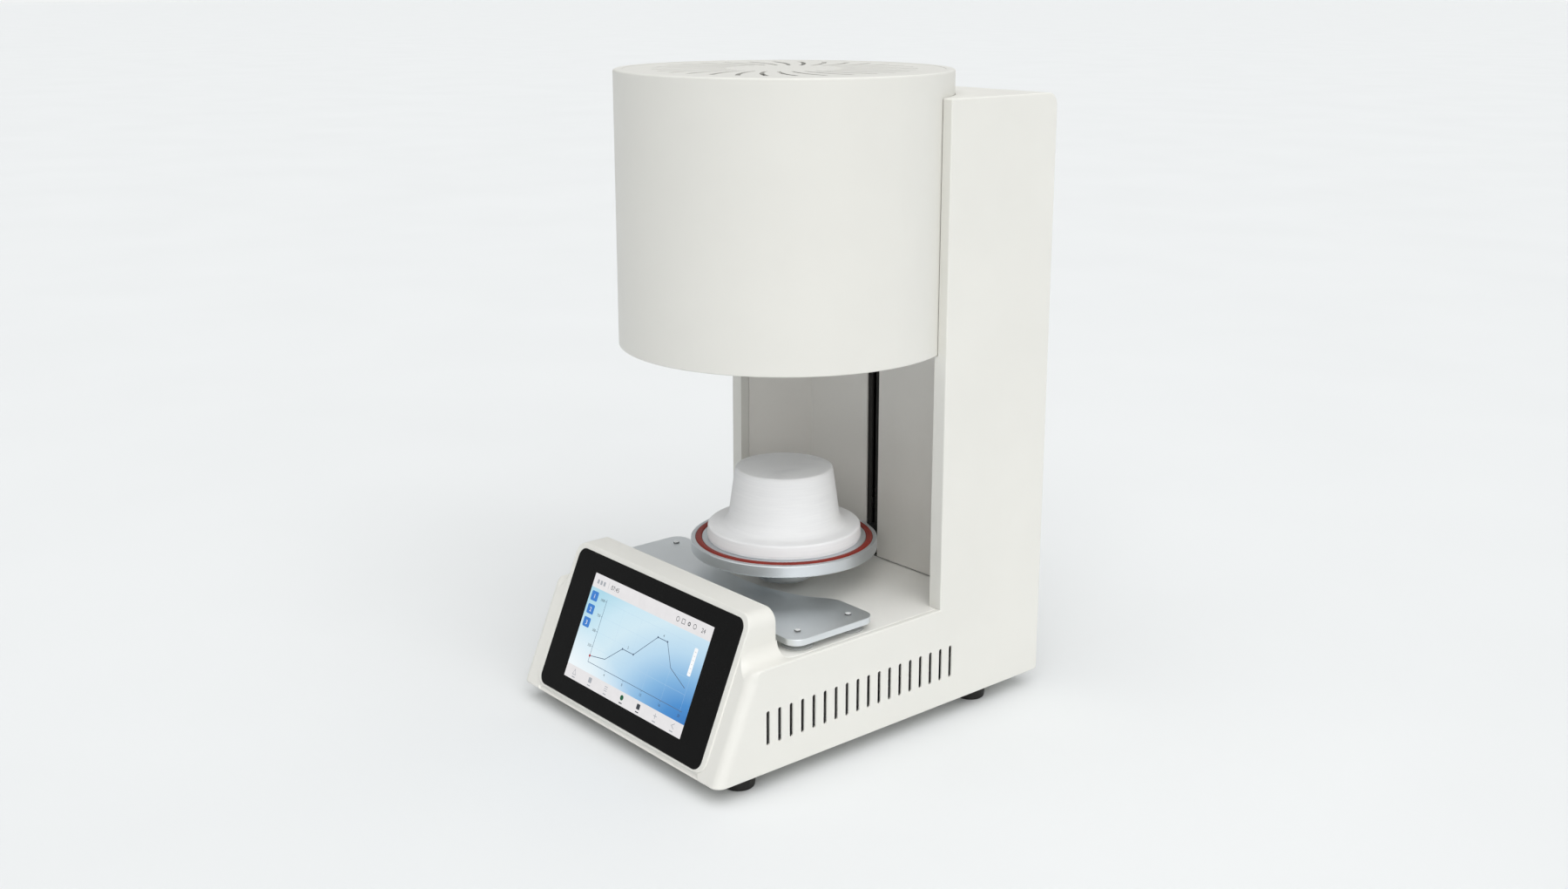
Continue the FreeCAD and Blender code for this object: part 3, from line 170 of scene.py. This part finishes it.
# ----------------------------------------------------------------- materials
def paint(name, col, rough=0.42, grain=1500.0, depth=0.05):
    """Satin powder coat: faint orange peel, faint cloudiness."""
    m = Mat(name)
    v = m.coords()
    cloud = m.noise(v, 9.0, 3.0, 0.6)
    m.link(m.ramp(cloud, [(0.35, mixc(col, 0.985)), (0.65, mixc(col, 1.01))]), m.b.inputs["Base Color"])
    peel = m.noise(v, grain, 2.0, 0.45)
    broad = m.noise(v, grain * 0.22, 2.0, 0.5)
    m.link(m.remap(broad, 0.3, 0.7, rough - 0.03, rough + 0.03), m.b.inputs["Roughness"])
    n1 = m.bump(broad, depth * 0.6, 0.0004)
    m.link(m.bump(peel, depth, 0.0002, n1), m.b.inputs["Normal"])
    m.set(**{"Specular IOR Level": 0.42})
    return m.m


def metal(name, col, rough=0.28, brush=None, grain=2200.0, depth=0.05, aniso=0.0, tint=0.04, tangent=False):
    """Machined or blasted metal; brush gives the stretch of the marks."""
    m = Mat(name)
    v = m.coords(scale=brush or (1, 1, 1))
    g = m.noise(v, grain, 3.0, 0.6)
    soft = m.noise(m.coords(), 14.0, 2.0, 0.5)
    m.link(m.ramp(soft, [(0.3, mixc(col, 1 - tint)), (0.7, mixc(col, 1 + tint))]), m.b.inputs["Base Color"])
    m.link(m.remap(g, 0.25, 0.75, rough * 0.86, rough * 1.16), m.b.inputs["Roughness"])
    m.link(m.bump(g, depth, 0.00012), m.b.inputs["Normal"])
    m.set(Metallic=1.0)
    if aniso:
        m.set(Anisotropic=aniso)
        if tangent:
            tg = m.n("ShaderNodeTangent", direction_type="RADIAL", axis="Z")
            m.link(tg.outputs["Tangent"], m.b.inputs["Tangent"])
    return m.m


def turned(name, col, rough=0.46, centre=(0.0, Y_SHIFT / 1000.0)):
    """Lathe-turned aluminium: rings about the lift axis on flat faces, lines round the rim."""
    m = Mat(name)
    sep = m.n("ShaderNodeSeparateXYZ")
    m.link(m.tc.outputs["Object"], sep.inputs["Vector"])
    dx = m.math("SUBTRACT", sep.outputs["X"], centre[0])
    dy = m.math("SUBTRACT", sep.outputs["Y"], centre[1])
    rr = m.math("SQRT", m.math("ADD", m.math("MULTIPLY", dx, dx), m.math("MULTIPLY", dy, dy)))
    comb = m.n("ShaderNodeCombineXYZ")
    m.link(rr, comb.inputs["X"])
    m.link(sep.outputs["Z"], comb.inputs["Y"])
    g = m.noise(comb.outputs["Vector"], 2600.0, 2.0, 0.5)
    fine = m.noise(m.coords(), 3000.0, 1.0, 0.5)
    soft = m.noise(m.coords(), 16.0, 2.0, 0.5)
    m.link(m.ramp(soft, [(0.3, mixc(col, 0.96)), (0.7, mixc(col, 1.03))]), m.b.inputs["Base Color"])
    m.link(m.remap(g, 0.2, 0.8, rough * 0.85, rough * 1.2), m.b.inputs["Roughness"])
    n1 = m.bump(fine, 0.015, 0.0001)
    m.link(m.bump(g, 0.025, 0.0001, n1), m.b.inputs["Normal"])
    m.set(Metallic=1.0)
    return m.m


def moulded(name, col, rough=0.5, grain=2400.0, depth=0.12, spec=0.5, blotch=0.08):
    m = Mat(name)
    v = m.coords()
    g = m.noise(v, grain, 2.0, 0.55)
    soft = m.noise(v, 60.0, 3.0, 0.6)
    m.link(m.ramp(soft, [(0.3, mixc(col, 1 - blotch)), (0.7, mixc(col, 1 + blotch))]), m.b.inputs["Base Color"])
    m.link(m.remap(soft, 0.3, 0.7, rough - 0.05, rough + 0.05), m.b.inputs["Roughness"])
    m.link(m.bump(g, depth, 0.00015), m.b.inputs["Normal"])
    m.set(**{"Specular IOR Level": spec})
    return m.m


def fibre(name, z_top=None):
    """Vacuum-formed ceramic fibre, dressed on a lathe; a face at z_top is painted whiter, a painted highlight
    standing in for light the top face lacks.
    """
    m = Mat(name)
    v = m.coords()
    marks = m.noise(m.coords(scale=(0.35, 0.35, 9.0)), 90.0, 4.0, 0.62, 0.6)
    fuzz = m.noise(v, 1400.0, 3.0, 0.65)
    pits = m.noise(v, 260.0, 3.0, 0.6)
    tone = marks
    if z_top is not None:
        sep = m.n("ShaderNodeSeparateXYZ")
        m.link(m.tc.outputs["Object"], sep.inputs["Vector"])
        # painted light: the band just under z_top and the top face are pushed to a whiter colour
        tone = m.math("ADD", marks, m.remap(sep.outputs["Z"], z_top - 0.0016, z_top - 0.0004, 0.0, 0.4))
    m.link(m.ramp(tone, [(0.3, (0.845, 0.845, 0.85, 1)), (0.7, (0.885, 0.885, 0.885, 1)),
                         (0.92, (0.955, 0.955, 0.95, 1))]), m.b.inputs["Base Color"])
    m.set(Roughness=0.95, **{"Specular IOR Level": 0.2})
    n1 = m.bump(marks, 0.16, 0.0006)
    n2 = m.bump(pits, 0.14, 0.0004, n1)
    m.link(m.bump(fuzz, 0.22, 0.00025, n2), m.b.inputs["Normal"])
    return m.m


def rubbery(name, col, rough=0.55, depth=0.1, spec=0.4):
    m = Mat(name)
    v = m.coords()
    g = m.noise(v, 1800.0, 2.0, 0.5)
    d = m.noise(v, 120.0, 2.0, 0.6)
    m.link(m.ramp(d, [(0.3, mixc(col, 0.9)), (0.7, mixc(col, 1.1))]), m.b.inputs["Base Color"])
    m.link(m.remap(d, 0.3, 0.7, rough - 0.06, rough + 0.06), m.b.inputs["Roughness"])
    m.link(m.bump(g, depth, 0.00015), m.b.inputs["Normal"])
    m.set(**{"Specular IOR Level": spec})
    return m.m


def clear(name, col, rough=0.12, ior=1.43, trans=1.0):
    m = Mat(name)
    g = m.noise(m.coords(), 500.0, 2.0, 0.5)
    m.link(m.remap(g, 0.3, 0.7, rough * 0.8, rough * 1.2), m.b.inputs["Roughness"])
    m.link(m.bump(g, 0.02, 0.0002), m.b.inputs["Normal"])
    m.set(IOR=ior, **{"Transmission Weight": trans, "Base Color": col})
    return m.m


def milky(name, col, z_head):
    """Thin translucent silicone; the buttons above z_head are thick and opaque, with painted shade on their steep
    flanks.
    """
    m = Mat(name)
    v = m.coords()
    g = m.noise(v, 900.0, 2.0, 0.5)
    soft = m.noise(v, 140.0, 2.0, 0.5)
    sep = m.n("ShaderNodeSeparateXYZ")
    m.link(m.tc.outputs["Object"], sep.inputs["Vector"])
    nor = m.n("ShaderNodeSeparateXYZ")
    m.link(m.tc.outputs["Normal"], nor.inputs["Vector"])
    # painted shade: the steep flanks of the buttons above z_head are pulled towards a near-black colour
    flank_shade = m.math("MULTIPLY", m.remap(nor.outputs["Z"], 0.35, 0.85, 1.0, 0.0),
                   m.remap(sep.outputs["Z"], z_head - 0.0002, z_head + 0.0002, 0.0, 1.0))
    m.link(m.ramp(m.math("SUBTRACT", soft, flank_shade), [(0.05, mixc(col, 0.16)), (0.3, mixc(col, 0.97)),
                                                    (0.7, mixc(col, 1.03))]), m.b.inputs["Base Color"])
    m.link(m.remap(soft, 0.3, 0.7, 0.22, 0.32), m.b.inputs["Roughness"])
    m.link(m.bump(g, 0.03, 0.0002), m.b.inputs["Normal"])
    m.link(m.remap(sep.outputs["Z"], z_head - 0.0002, z_head + 0.0002, 0.38, 1.0), m.b.inputs["Alpha"])
    m.set(**{"Specular IOR Level": 0.5})
    return m.m


WHITE = srgb(229, 228, 222)
M = {
    "casing": paint("casing_paint", WHITE),
    # painted shade: the head and its vent take a darker copy of the casing white to dim how bright the head renders
    "head": paint("head_paint_shaded", srgb(225, 224, 218)),
    "recess": paint("recess_paint", srgb(226, 223, 217), rough=0.48),
    # painted light: the deck takes a brighter copy of the casing white, standing in for light the head keeps off it
    "deck": paint("deck_paint_brightened", srgb(239, 238, 233), rough=0.36, depth=0.03),
    "alu_tray": metal("tray_anodised", srgb(229, 233, 235), rough=0.42, grain=2600.0, depth=0.04),
    "alu_turned": turned("disc_turned", srgb(217, 221, 224)),
    "alu": metal("aluminium_plain", srgb(214, 217, 219), rough=0.34),
    "steel": metal("ground_steel", srgb(168, 168, 170), rough=0.24, brush=(1, 1, 0.08), grain=1500.0),
    "zinc": metal("zinc_plate", srgb(178, 180, 182), rough=0.36, grain=700.0, depth=0.08, tint=0.08),
    "chrome": metal("bright_wire", srgb(205, 206, 208), rough=0.14, depth=0.02),
    "brass": metal("brass_plain", srgb(196, 160, 88), rough=0.3),
    "wire": metal("oxidised_wire", srgb(96, 86, 80), rough=0.55),
    "black_paint": paint("black_finish", srgb(30, 30, 31), rough=0.5, depth=0.08),
    "black_plastic": moulded("black_moulding", srgb(27, 27, 28), rough=0.46),
    "rubber": rubbery("rubber_black", srgb(30, 29, 27), rough=0.62),
    "slot_rubber": rubbery("slot_strip", srgb(44, 43, 41), rough=0.8, spec=0.2),
    "seal": rubbery("silicone_red", srgb(132, 40, 29), rough=0.5, depth=0.03, spec=0.3),
    "cup": milky("silicone_milky", (0.66, 0.68, 0.68, 1), 0.1063),
    "quartz": clear("quartz_clear", (0.97, 0.98, 0.98, 1), rough=0.04, ior=1.46),
    "fibre": fibre("ceramic_fibre"),
    # the plinth's top face is painted whiter: painted light where the head shades it
    "plinth": fibre("plinth_fibre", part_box("firing_plinth")[1][2]),
    "board": moulded("board_green", srgb(20, 74, 44), rough=0.4),
    "module": moulded("module_grey", srgb(60, 61, 64), rough=0.45),
}


def glass_black():
    m = Mat("cover_glass")
    g = m.noise(m.coords(), 40.0, 2.0, 0.5)
    m.link(m.ramp(g, [(0.3, (0.0066, 0.0066, 0.0066, 1)), (0.7, (0.0074, 0.0074, 0.0074, 1))]), m.b.inputs["Base Color"])
    m.link(m.remap(g, 0.3, 0.7, 0.10, 0.13), m.b.inputs["Roughness"])
    m.set(**{"Specular IOR Level": 0.16})
    return m.m


M["glass"] = glass_black()

use = {
    "main_housing": "casing", "head_shell": "head", "head_vent": "head", "base_deck": "deck",
    "rear_cover": "casing", "head_base_plate": "casing", "recess_panel": "recess", "bottom_cover": "zinc",
    "slot_seals": "slot_rubber", "display_glass": "glass", "display_panel": "module",
    "display_retainer": "zinc", "display_board": "board", "board_standoffs": "brass",
    "cooling_tray": "alu_tray", "tray_cups": "cup", "rubber_feet": "rubber", "connector_panel": "casing",
    "fasteners": "zinc", "back_frame": "black_paint", "lower_bearing_block": "alu",
    "upper_bearing_block": "alu", "screw_bearings": "steel", "guide_rods": "steel",
    "lift_motor": "black_paint", "motor_bracket": "zinc", "lead_screw": "steel", "motor_shaft": "steel",
    "shaft_coupling": "alu", "lift_carriage": "alu", "rod_bearings": "steel", "lift_nut": "brass",
    "lift_arm": "black_paint", "lift_hub": "alu_turned", "lift_disc": "alu_turned", "seal_ring": "seal",
    "firing_plinth": "plinth", "limit_switches": "black_plastic", "chamber_flange": "alu",
    "head_bracket": "black_paint", "chamber_can": "steel", "insulation_rings": "fibre",
    "insulation_top": "fibre", "quartz_tube": "quartz", "heating_coil": "wire",
    "terminal_bushings": "fibre", "thermocouple": "fibre", "mains_inlet": "black_plastic",
    "inlet_pins": "brass", "switch_frame": "black_plastic", "switch_rocker": "black_plastic",
    "vacuum_valve": "brass", "vacuum_fitting": "brass", "fan_frame": "black_plastic",
    "fan_rotor": "black_plastic", "fan_guard": "chrome", "control_board": "board",
    "power_supply": "zinc", "relay_heatsink": "alu", "heater_relay": "black_plastic",
}
for name, ob in nodes.items():
    mat = M[use[name]]
    if not ob.material_slots:
        ob.data.materials.append(mat)
    for sl in ob.material_slots:
        sl.link = "OBJECT"
        sl.material = mat


# --------------------------------------------------------------- the display
def lit(name, col, strength=1.0, rough=0.12, vary=0.02):
    """Flat patch of the lit picture, under the same gloss as the glass."""
    m = Mat(name)
    g = m.noise(m.coords(), 160.0, 1.0, 0.5)
    m.link(m.ramp(g, [(0.3, mixc(col, 1 - vary)), (0.7, mixc(col, 1 + vary))]), m.b.inputs["Emission Color"])
    m.set(**{"Base Color": (0.004, 0.004, 0.004, 1), "Roughness": rough, "Specular IOR Level": 0.2,
             "Emission Strength": strength})
    return m.m


def lit_field(name):
    """Blue field of the picture: pale at the left, deep at the lower right."""
    m = Mat(name)
    sep = m.n("ShaderNodeSeparateXYZ")
    m.link(m.tc.outputs["Object"], sep.inputs["Vector"])
    lo, hi = S(-77.04, 21.94), S(77.04, 107.75)
    u = m.remap(sep.outputs["X"], lo.x, hi.x, 0.0, 1.0)
    v = m.remap(sep.outputs["Z"], lo.z, hi.z, 0.0, 1.0)
    # distance from the deep corner
    du = m.math("SUBTRACT", 1.04, u)
    dv = m.math("MULTIPLY", m.math("SUBTRACT", v, 0.06), 0.95)
    d = m.math("SQRT", m.math("ADD", m.math("MULTIPLY", du, du), m.math("MULTIPLY", dv, dv)))
    d = m.math("MULTIPLY", d, 0.8)
    base = m.ramp(d, [(0.016, srgb(52, 116, 190)), (0.176, srgb(78, 143, 206)), (0.336, srgb(134, 183, 224)),
                      (0.496, srgb(184, 216, 238)), (0.68, srgb(210, 233, 243)), (0.8, srgb(204, 231, 243)),
                      (0.96, srgb(174, 216, 232))])
    # paler sweep along the lower left
    s = m.math("ADD", m.math("MULTIPLY", u, 0.85), v)
    pale = m.ramp(s, [(0.10, (0.9, 0.9, 0.9, 1)), (0.62, (0, 0, 0, 1))])
    mix = m.n("ShaderNodeMix", data_type="RGBA", blend_type="MIX")
    m.link(pale, mix.inputs["Factor"])
    m.link(base, mix.inputs[6])
    mix.inputs[7].default_value = srgb(246, 250, 252)
    m.link(mix.outputs[2], m.b.inputs["Emission Color"])
    m.set(**{"Base Color": (0.004, 0.004, 0.004, 1), "Roughness": 0.12, "Specular IOR Level": 0.2,
             "Emission Strength": 1.0})
    return m.m


class Picture:
    """One mesh of thin flat patches laid on the display glass."""

    def __init__(self, name):
        self.bm = bmesh.new()
        self.name = name
        self.mats = []

    def slot(self, mat):
        if mat not in self.mats:
            self.mats.append(mat)
        return self.mats.index(mat)

    def poly(self, pts, n, mat):
        vs = [self.bm.verts.new(S(u, v, n)) for u, v in pts]
        f = self.bm.faces.new(vs)
        f.material_index = self.slot(mat)
        return f

    def rect(self, u0, v0, u1, v1, n, mat, r=0.0):
        if r <= 0:
            return self.poly([(u0, v0), (u1, v0), (u1, v1), (u0, v1)], n, mat)
        pts = []
        for cx, cy, a0 in ((u1 - r, v0 + r, -90), (u1 - r, v1 - r, 0), (u0 + r, v1 - r, 90), (u0 + r, v0 + r, 180)):
            for k in range(7):
                a = math.radians(a0 + 15 * k)
                pts.append((cx + r * math.cos(a), cy + r * math.sin(a)))
        return self.poly(pts, n, mat)

    def disc(self, cu, cv, r, n, mat, seg=28, a0=0.0, a1=360.0):
        pts = [(cu + r * math.cos(math.radians(a0 + (a1 - a0) * k / seg)),
                cv + r * math.sin(math.radians(a0 + (a1 - a0) * k / seg))) for k in range(seg + (a1 - a0 < 359))]
        return self.poly(pts, n, mat)

    def line(self, pts, w, n, mat, closed=False):
        """Stroke of width w through the points, with mitred corners."""
        k = len(pts)
        left, right = [], []
        for i, p in enumerate(pts):
            a = pts[i - 1] if (i > 0 or closed) else None
            b = pts[(i + 1) % k] if (i < k - 1 or closed) else None
            d = []
            if a is not None:
                d.append(Vector((p[0] - a[0], p[1] - a[1])).normalized())
            if b is not None:
                d.append(Vector((b[0] - p[0], b[1] - p[1])).normalized())
            t = sum(d, Vector((0, 0)))
            t = t.normalized() if t.length > 1e-6 else d[0]
            nn = Vector((-t.y, t.x))
            c = max(0.35, abs(nn.dot(Vector((-d[0].y, d[0].x)))))
            h = w / 2.0 / c
            left.append((p[0] + nn.x * h, p[1] + nn.y * h))
            right.append((p[0] - nn.x * h, p[1] - nn.y * h))
        rng = range(k if closed else k - 1)
        vl = [self.bm.verts.new(S(a, b, n)) for a, b in left]
        vr = [self.bm.verts.new(S(a, b, n)) for a, b in right]
        for i in rng:
            j = (i + 1) % k
            f = self.bm.faces.new([vr[i], vr[j], vl[j], vl[i]])
            f.material_index = self.slot(mat)

    def text(self, body, u, v, size, n, mat, align="LEFT"):
        cu = bpy.data.curves.new("t", "FONT")
        cu.body = body
        cu.size = size
        cu.align_x = align
        ob = bpy.data.objects.new("t", cu)
        bpy.context.scene.collection.objects.link(ob)
        dg = bpy.context.evaluated_depsgraph_get()
        me = bpy.data.meshes.new_from_object(ob.evaluated_get(dg))
        idx = self.slot(mat)
        vs = [self.bm.verts.new(S(u + p.co.x, v + p.co.y, n)) for p in me.vertices]
        for p in me.polygons:
            f = self.bm.faces.new([vs[i] for i in p.vertices])
            f.material_index = idx
        bpy.data.objects.remove(ob)
        bpy.data.curves.remove(cu)
        bpy.data.meshes.remove(me)

    def done(self, body):
        bmesh.ops.recalc_face_normals(self.bm, faces=self.bm.faces)
        up = Vector((0, -CS, SN))
        for f in self.bm.faces:
            f.normal_update()
            if f.normal.dot(up) < 0:
                f.normal_flip()
        me = bpy.data.meshes.new(self.name)
        self.bm.to_mesh(me)
        self.bm.free()
        for m in self.mats:
            me.materials.append(m)
        ob = bpy.data.objects.new(self.name, me)
        bpy.context.scene.collection.objects.link(ob)
        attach(ob, body)
        return ob


BAR = lit("lit_bar", srgb(230, 228, 229))
FIELD = lit_field("lit_field")
INK = lit("lit_ink", srgb(62, 66, 72))
SOFT = lit("lit_soft", srgb(168, 172, 178))
GRID = lit("lit_grid", srgb(184, 211, 234))
CURVE = lit("lit_curve", srgb(92, 110, 132))
BLUE = lit("lit_blue", srgb(66, 128, 205))
PALE = lit("lit_pale", srgb(250, 251, 252))
RED = lit("lit_red", srgb(176, 40, 44))
GREEN = lit("lit_green", srgb(30, 92, 62))

U0, U1, V0, V1 = -77.04, 77.04, 21.94, 107.75
L1, L2, L3, L4 = 0.03, 0.05, 0.07, 0.09
pic = Picture("display_picture")
pic.rect(U0, V0, U1, V1, 0.015, BAR)
# field with the programme chart
FB, FT = V0 + 10.6, V1 - 11.2
pic.rect(U0, FB, U1, FT, L1, FIELD)
# header: three small marks at the left, a clock and a row of dots at the right
for k in range(3):
    pic.rect(U0 + 5.0 + 4.2 * k, V1 - 7.6, U0 + 7.6 + 4.2 * k, V1 - 4.2, L1, SOFT, 0.5)
pic.line([(U0 + 20.5, V1 - 8.6), (U0 + 20.5, V1 - 2.8)], 0.25, L1, SOFT)
pic.text("07:45", U0 + 24.0, V1 - 7.6, 5.0, L1, INK)
for k in range(4):
    r = 1.75
    cu, cv = U1 - 42.0 + 7.0 * k, V1 - 5.8
    if k == 1:
        pic.line([(cu - r, cv - r), (cu + r, cv - r), (cu + r, cv + r), (cu - r, cv + r)], 0.45, L1, INK, True)
    elif k == 2:
        pic.disc(cu, cv, r, L1, INK, 6)
        pic.disc(cu, cv, 0.8, L2, BAR, 20)
    else:
        pic.line([(cu + r * math.cos(a * math.pi / 12), cv + r * math.sin(a * math.pi / 12)) for a in range(24)],
                 0.45, L1, INK, True)
pic.text("24", U1 - 13.0, V1 - 7.6, 5.0, L1, INK)
# chart grid and axes
GX0, GX1, GY0, GY1 = U0 + 24.0, U1 - 9.0, FB + 8.0, FT - 7.0
for k in range(1, 6):
    x = GX0 + (GX1 - GX0) * k / 5.0
    pic.line([(x, GY0), (x, GY1)], 0.11, L2, GRID)
for k in range(1, 5):
    y = GY0 + (GY1 - GY0) * k / 4.0
    pic.line([(GX0, y), (GX1, y)], 0.11, L2, GRID)
pic.line([(GX0, GY1 + 2.0), (GX0, GY0), (GX1 + 2.5, GY0)], 0.42, L3, CURVE)
for k in range(1, 6):
    x = GX0 + (GX1 - GX0) * k / 5.0
    pic.line([(x, GY0), (x, GY0 - 1.3)], 0.35, L3, CURVE)
    pic.text(str(k * 4), x, GY0 - 4.6, 3.0, L3, INK, "CENTER")
for k in range(1, 5):
    y = GY0 + (GY1 - GY0) * k / 4.0
    pic.line([(GX0 - 1.3, y), (GX0, y)], 0.35, L3, CURVE)
    pic.text(str(k * 250), GX0 - 2.2, y - 1.0, 3.0, L3, INK, "RIGHT")
# programme curve: rise, hold, rise, hold, fall, rest


def gp(a, b):
    return (GX0 + (GX1 - GX0) * a, GY0 + (GY1 - GY0) * b)


track = [gp(0.0, 0.10), gp(0.16, 0.16), gp(0.30, 0.44), gp(0.42, 0.44), gp(0.60, 0.86), gp(0.70, 0.86),
         gp(0.80, 0.52), gp(0.98, 0.34)]
pic.line(track, 0.55, L4, CURVE)
for p in (track[2], track[3], track[4], track[5]):
    pic.disc(p[0], p[1], 0.85, L4 + 0.02, CURVE, 18)
pic.disc(track[0][0], track[0][1], 1.1, L4 + 0.02, RED, 20)
pic.text("2", *gp(0.35, 0.48), 3.0, L4, INK, "CENTER")
pic.text("4", *gp(0.65, 0.90), 3.0, L4, INK, "CENTER")
# three keys at the left of the field
for k, nm in enumerate(("1", "2", "3")):
    y = FT - 10.5 - 10.8 * k
    pic.rect(U0 + 2.6, y, U0 + 11.6, y + 7.8, L2, BLUE, 1.2)
    pic.text(nm, U0 + 7.1, y + 2.0, 5.0, L3, PALE, "CENTER")
# upright level at the top right
pic.rect(GX1 - 4.6, GY1 - 23.0, GX1 - 0.6, GY1 - 1.5, L4, PALE, 1.0)
for k in range(6):
    pic.line([(GX1 - 3.6, GY1 - 20.5 + 3.2 * k), (GX1 - 1.6, GY1 - 20.5 + 3.2 * k)], 0.25, L4 + 0.02, SOFT)
# footer: seven plain marks
for k in range(7):
    cu, cv = U0 + 12.0 + (U1 - U0 - 24.0) * k / 6.0, V0 + 6.2
    r = 2.1
    if k == 0:
        pic.line([(cu - r, cv - r), (cu + r, cv - r), (cu, cv + r)], 0.45, L1, SOFT, True)
    elif k == 1:
        pic.rect(cu - r, cv - r, cu + r, cv + r, L1, SOFT, 0.6)
    elif k == 2:
        for j in range(3):
            pic.line([(cu - r, cv - 1.6 + 1.6 * j), (cu + r, cv - 1.6 + 1.6 * j)], 0.5, L1, SOFT)
    elif k == 3:
        pic.disc(cu, cv, r, L1, GREEN, 24)
    elif k == 4:
        pic.rect(cu - r, cv - r, cu + r, cv + r, L1, INK, 0.6)
    elif k == 5:
        pic.line([(cu - r, cv), (cu + r, cv)], 0.6, L1, SOFT)
        pic.line([(cu, cv - r), (cu, cv + r)], 0.6, L2, SOFT)
    else:
        pic.line([(cu + r, cv + r), (cu - r * 0.6, cv), (cu + r, cv - r)], 0.55, L1, SOFT)
    pic.rect(cu - 2.0, V0 + 1.6, cu + 2.0, V0 + 2.4, L1, INK if k in (3, 4) else SOFT)
display_picture = pic.done("housing")

# ------------------------------------------------------------------ the floor
fm = Mat("floor_pale")
fv = fm.noise(fm.coords(), 3.0, 2.0, 0.5)
fm.link(fm.ramp(fv, [(0.3, (0.785, 0.80, 0.805, 1)), (0.7, (0.80, 0.815, 0.82, 1))]), fm.b.inputs["Base Color"])
fm.set(Roughness=0.9, **{"Specular IOR Level": 0.1})
me = bpy.data.meshes.new("floor")
R = 40.0
bmf = bmesh.new()
bmesh.ops.create_grid(bmf, x_segments=8, y_segments=8, size=R)
bmf.to_mesh(me)
bmf.free()
floor = bpy.data.objects.new("floor", me)
me.materials.append(fm.m)
bpy.context.scene.collection.objects.link(floor)
floor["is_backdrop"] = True

# ----------------------------------------------------------------- the lights
sc = bpy.context.scene
world = bpy.data.worlds.new("studio")
sc.world = world
world.use_nodes = True
wt = world.node_tree
bg = wt.nodes["Background"]
# a soft sky: an even part and broad glows, each with a direction and a strength
SKY_EVEN = 0.14
SKY = [((-1.0, 0.0, 0.0), 0.23), ((0.0, 1.0, 0.0), 0.38)]
SUNS = [("key_right", (0.76, -0.34, 0.55), 1.46, 70), ("top", (0.20, -0.15, 1.0), 1.80, 80),
        ("front_left", (-0.35, -0.60, 0.72), 0.10, 60)]
BACK = 0.90
tcw = wt.nodes.new("ShaderNodeTexCoord")
total = wt.nodes.new("ShaderNodeValue")
total.outputs[0].default_value = SKY_EVEN
level = total.outputs[0]
for direction, power in SKY:
    dot = wt.nodes.new("ShaderNodeVectorMath")
    dot.operation = "DOT_PRODUCT"
    dot.inputs[1].default_value = direction
    wt.links.new(tcw.outputs["Generated"], dot.inputs[0])
    top = wt.nodes.new("ShaderNodeMath")
    top.operation = "MAXIMUM"
    top.inputs[1].default_value = 0.0
    wt.links.new(dot.outputs["Value"], top.inputs[0])
    part = wt.nodes.new("ShaderNodeMath")
    part.operation = "MULTIPLY_ADD"
    part.inputs[1].default_value = power
    wt.links.new(top.outputs["Value"], part.inputs[0])
    wt.links.new(level, part.inputs[2])
    level = part.outputs["Value"]
lp = wt.nodes.new("ShaderNodeLightPath")
mx = wt.nodes.new("ShaderNodeMix")
mx.data_type = "FLOAT"
wt.links.new(lp.outputs["Is Camera Ray"], mx.inputs["Factor"])
wt.links.new(level, mx.inputs[2])
mx.inputs[3].default_value = BACK
wt.links.new(mx.outputs[0], bg.inputs["Strength"])
bg.inputs["Color"].default_value = (0.985, 1.0, 1.0, 1)

for name, towards, power, angle in SUNS:
    ld = bpy.data.lights.new(name, "SUN")
    ld.energy = power
    ld.angle = math.radians(angle)
    lo = bpy.data.objects.new(name, ld)
    lo.location = Vector(towards) * 2.0
    lo.rotation_euler = (-Vector(towards)).to_track_quat("-Z", "Y").to_euler()
    sc.collection.objects.link(lo)

# ----------------------------------------------------------------- the camera
cam = bpy.data.cameras.new("camera")
cam.sensor_width = 36.0
cam.lens = 1919.4 / 1800.0 * 36.0
cam.shift_y = -0.0389
co = bpy.data.objects.new("camera", cam)
AZ = 0.8654
PITCH = 0.2387
co.location = W(1300.0 * math.sin(AZ), -1300.0 * math.cos(AZ), 565.23)
co.rotation_euler = (math.pi / 2 - PITCH, 0.0, AZ)
cam.clip_start, cam.clip_end = 0.01, 60
sc.collection.objects.link(co)
sc.camera = co

sc.view_settings.view_transform = "Standard"
sc.view_settings.look = "None"
sc.view_settings.exposure = 0.0

lo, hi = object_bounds()
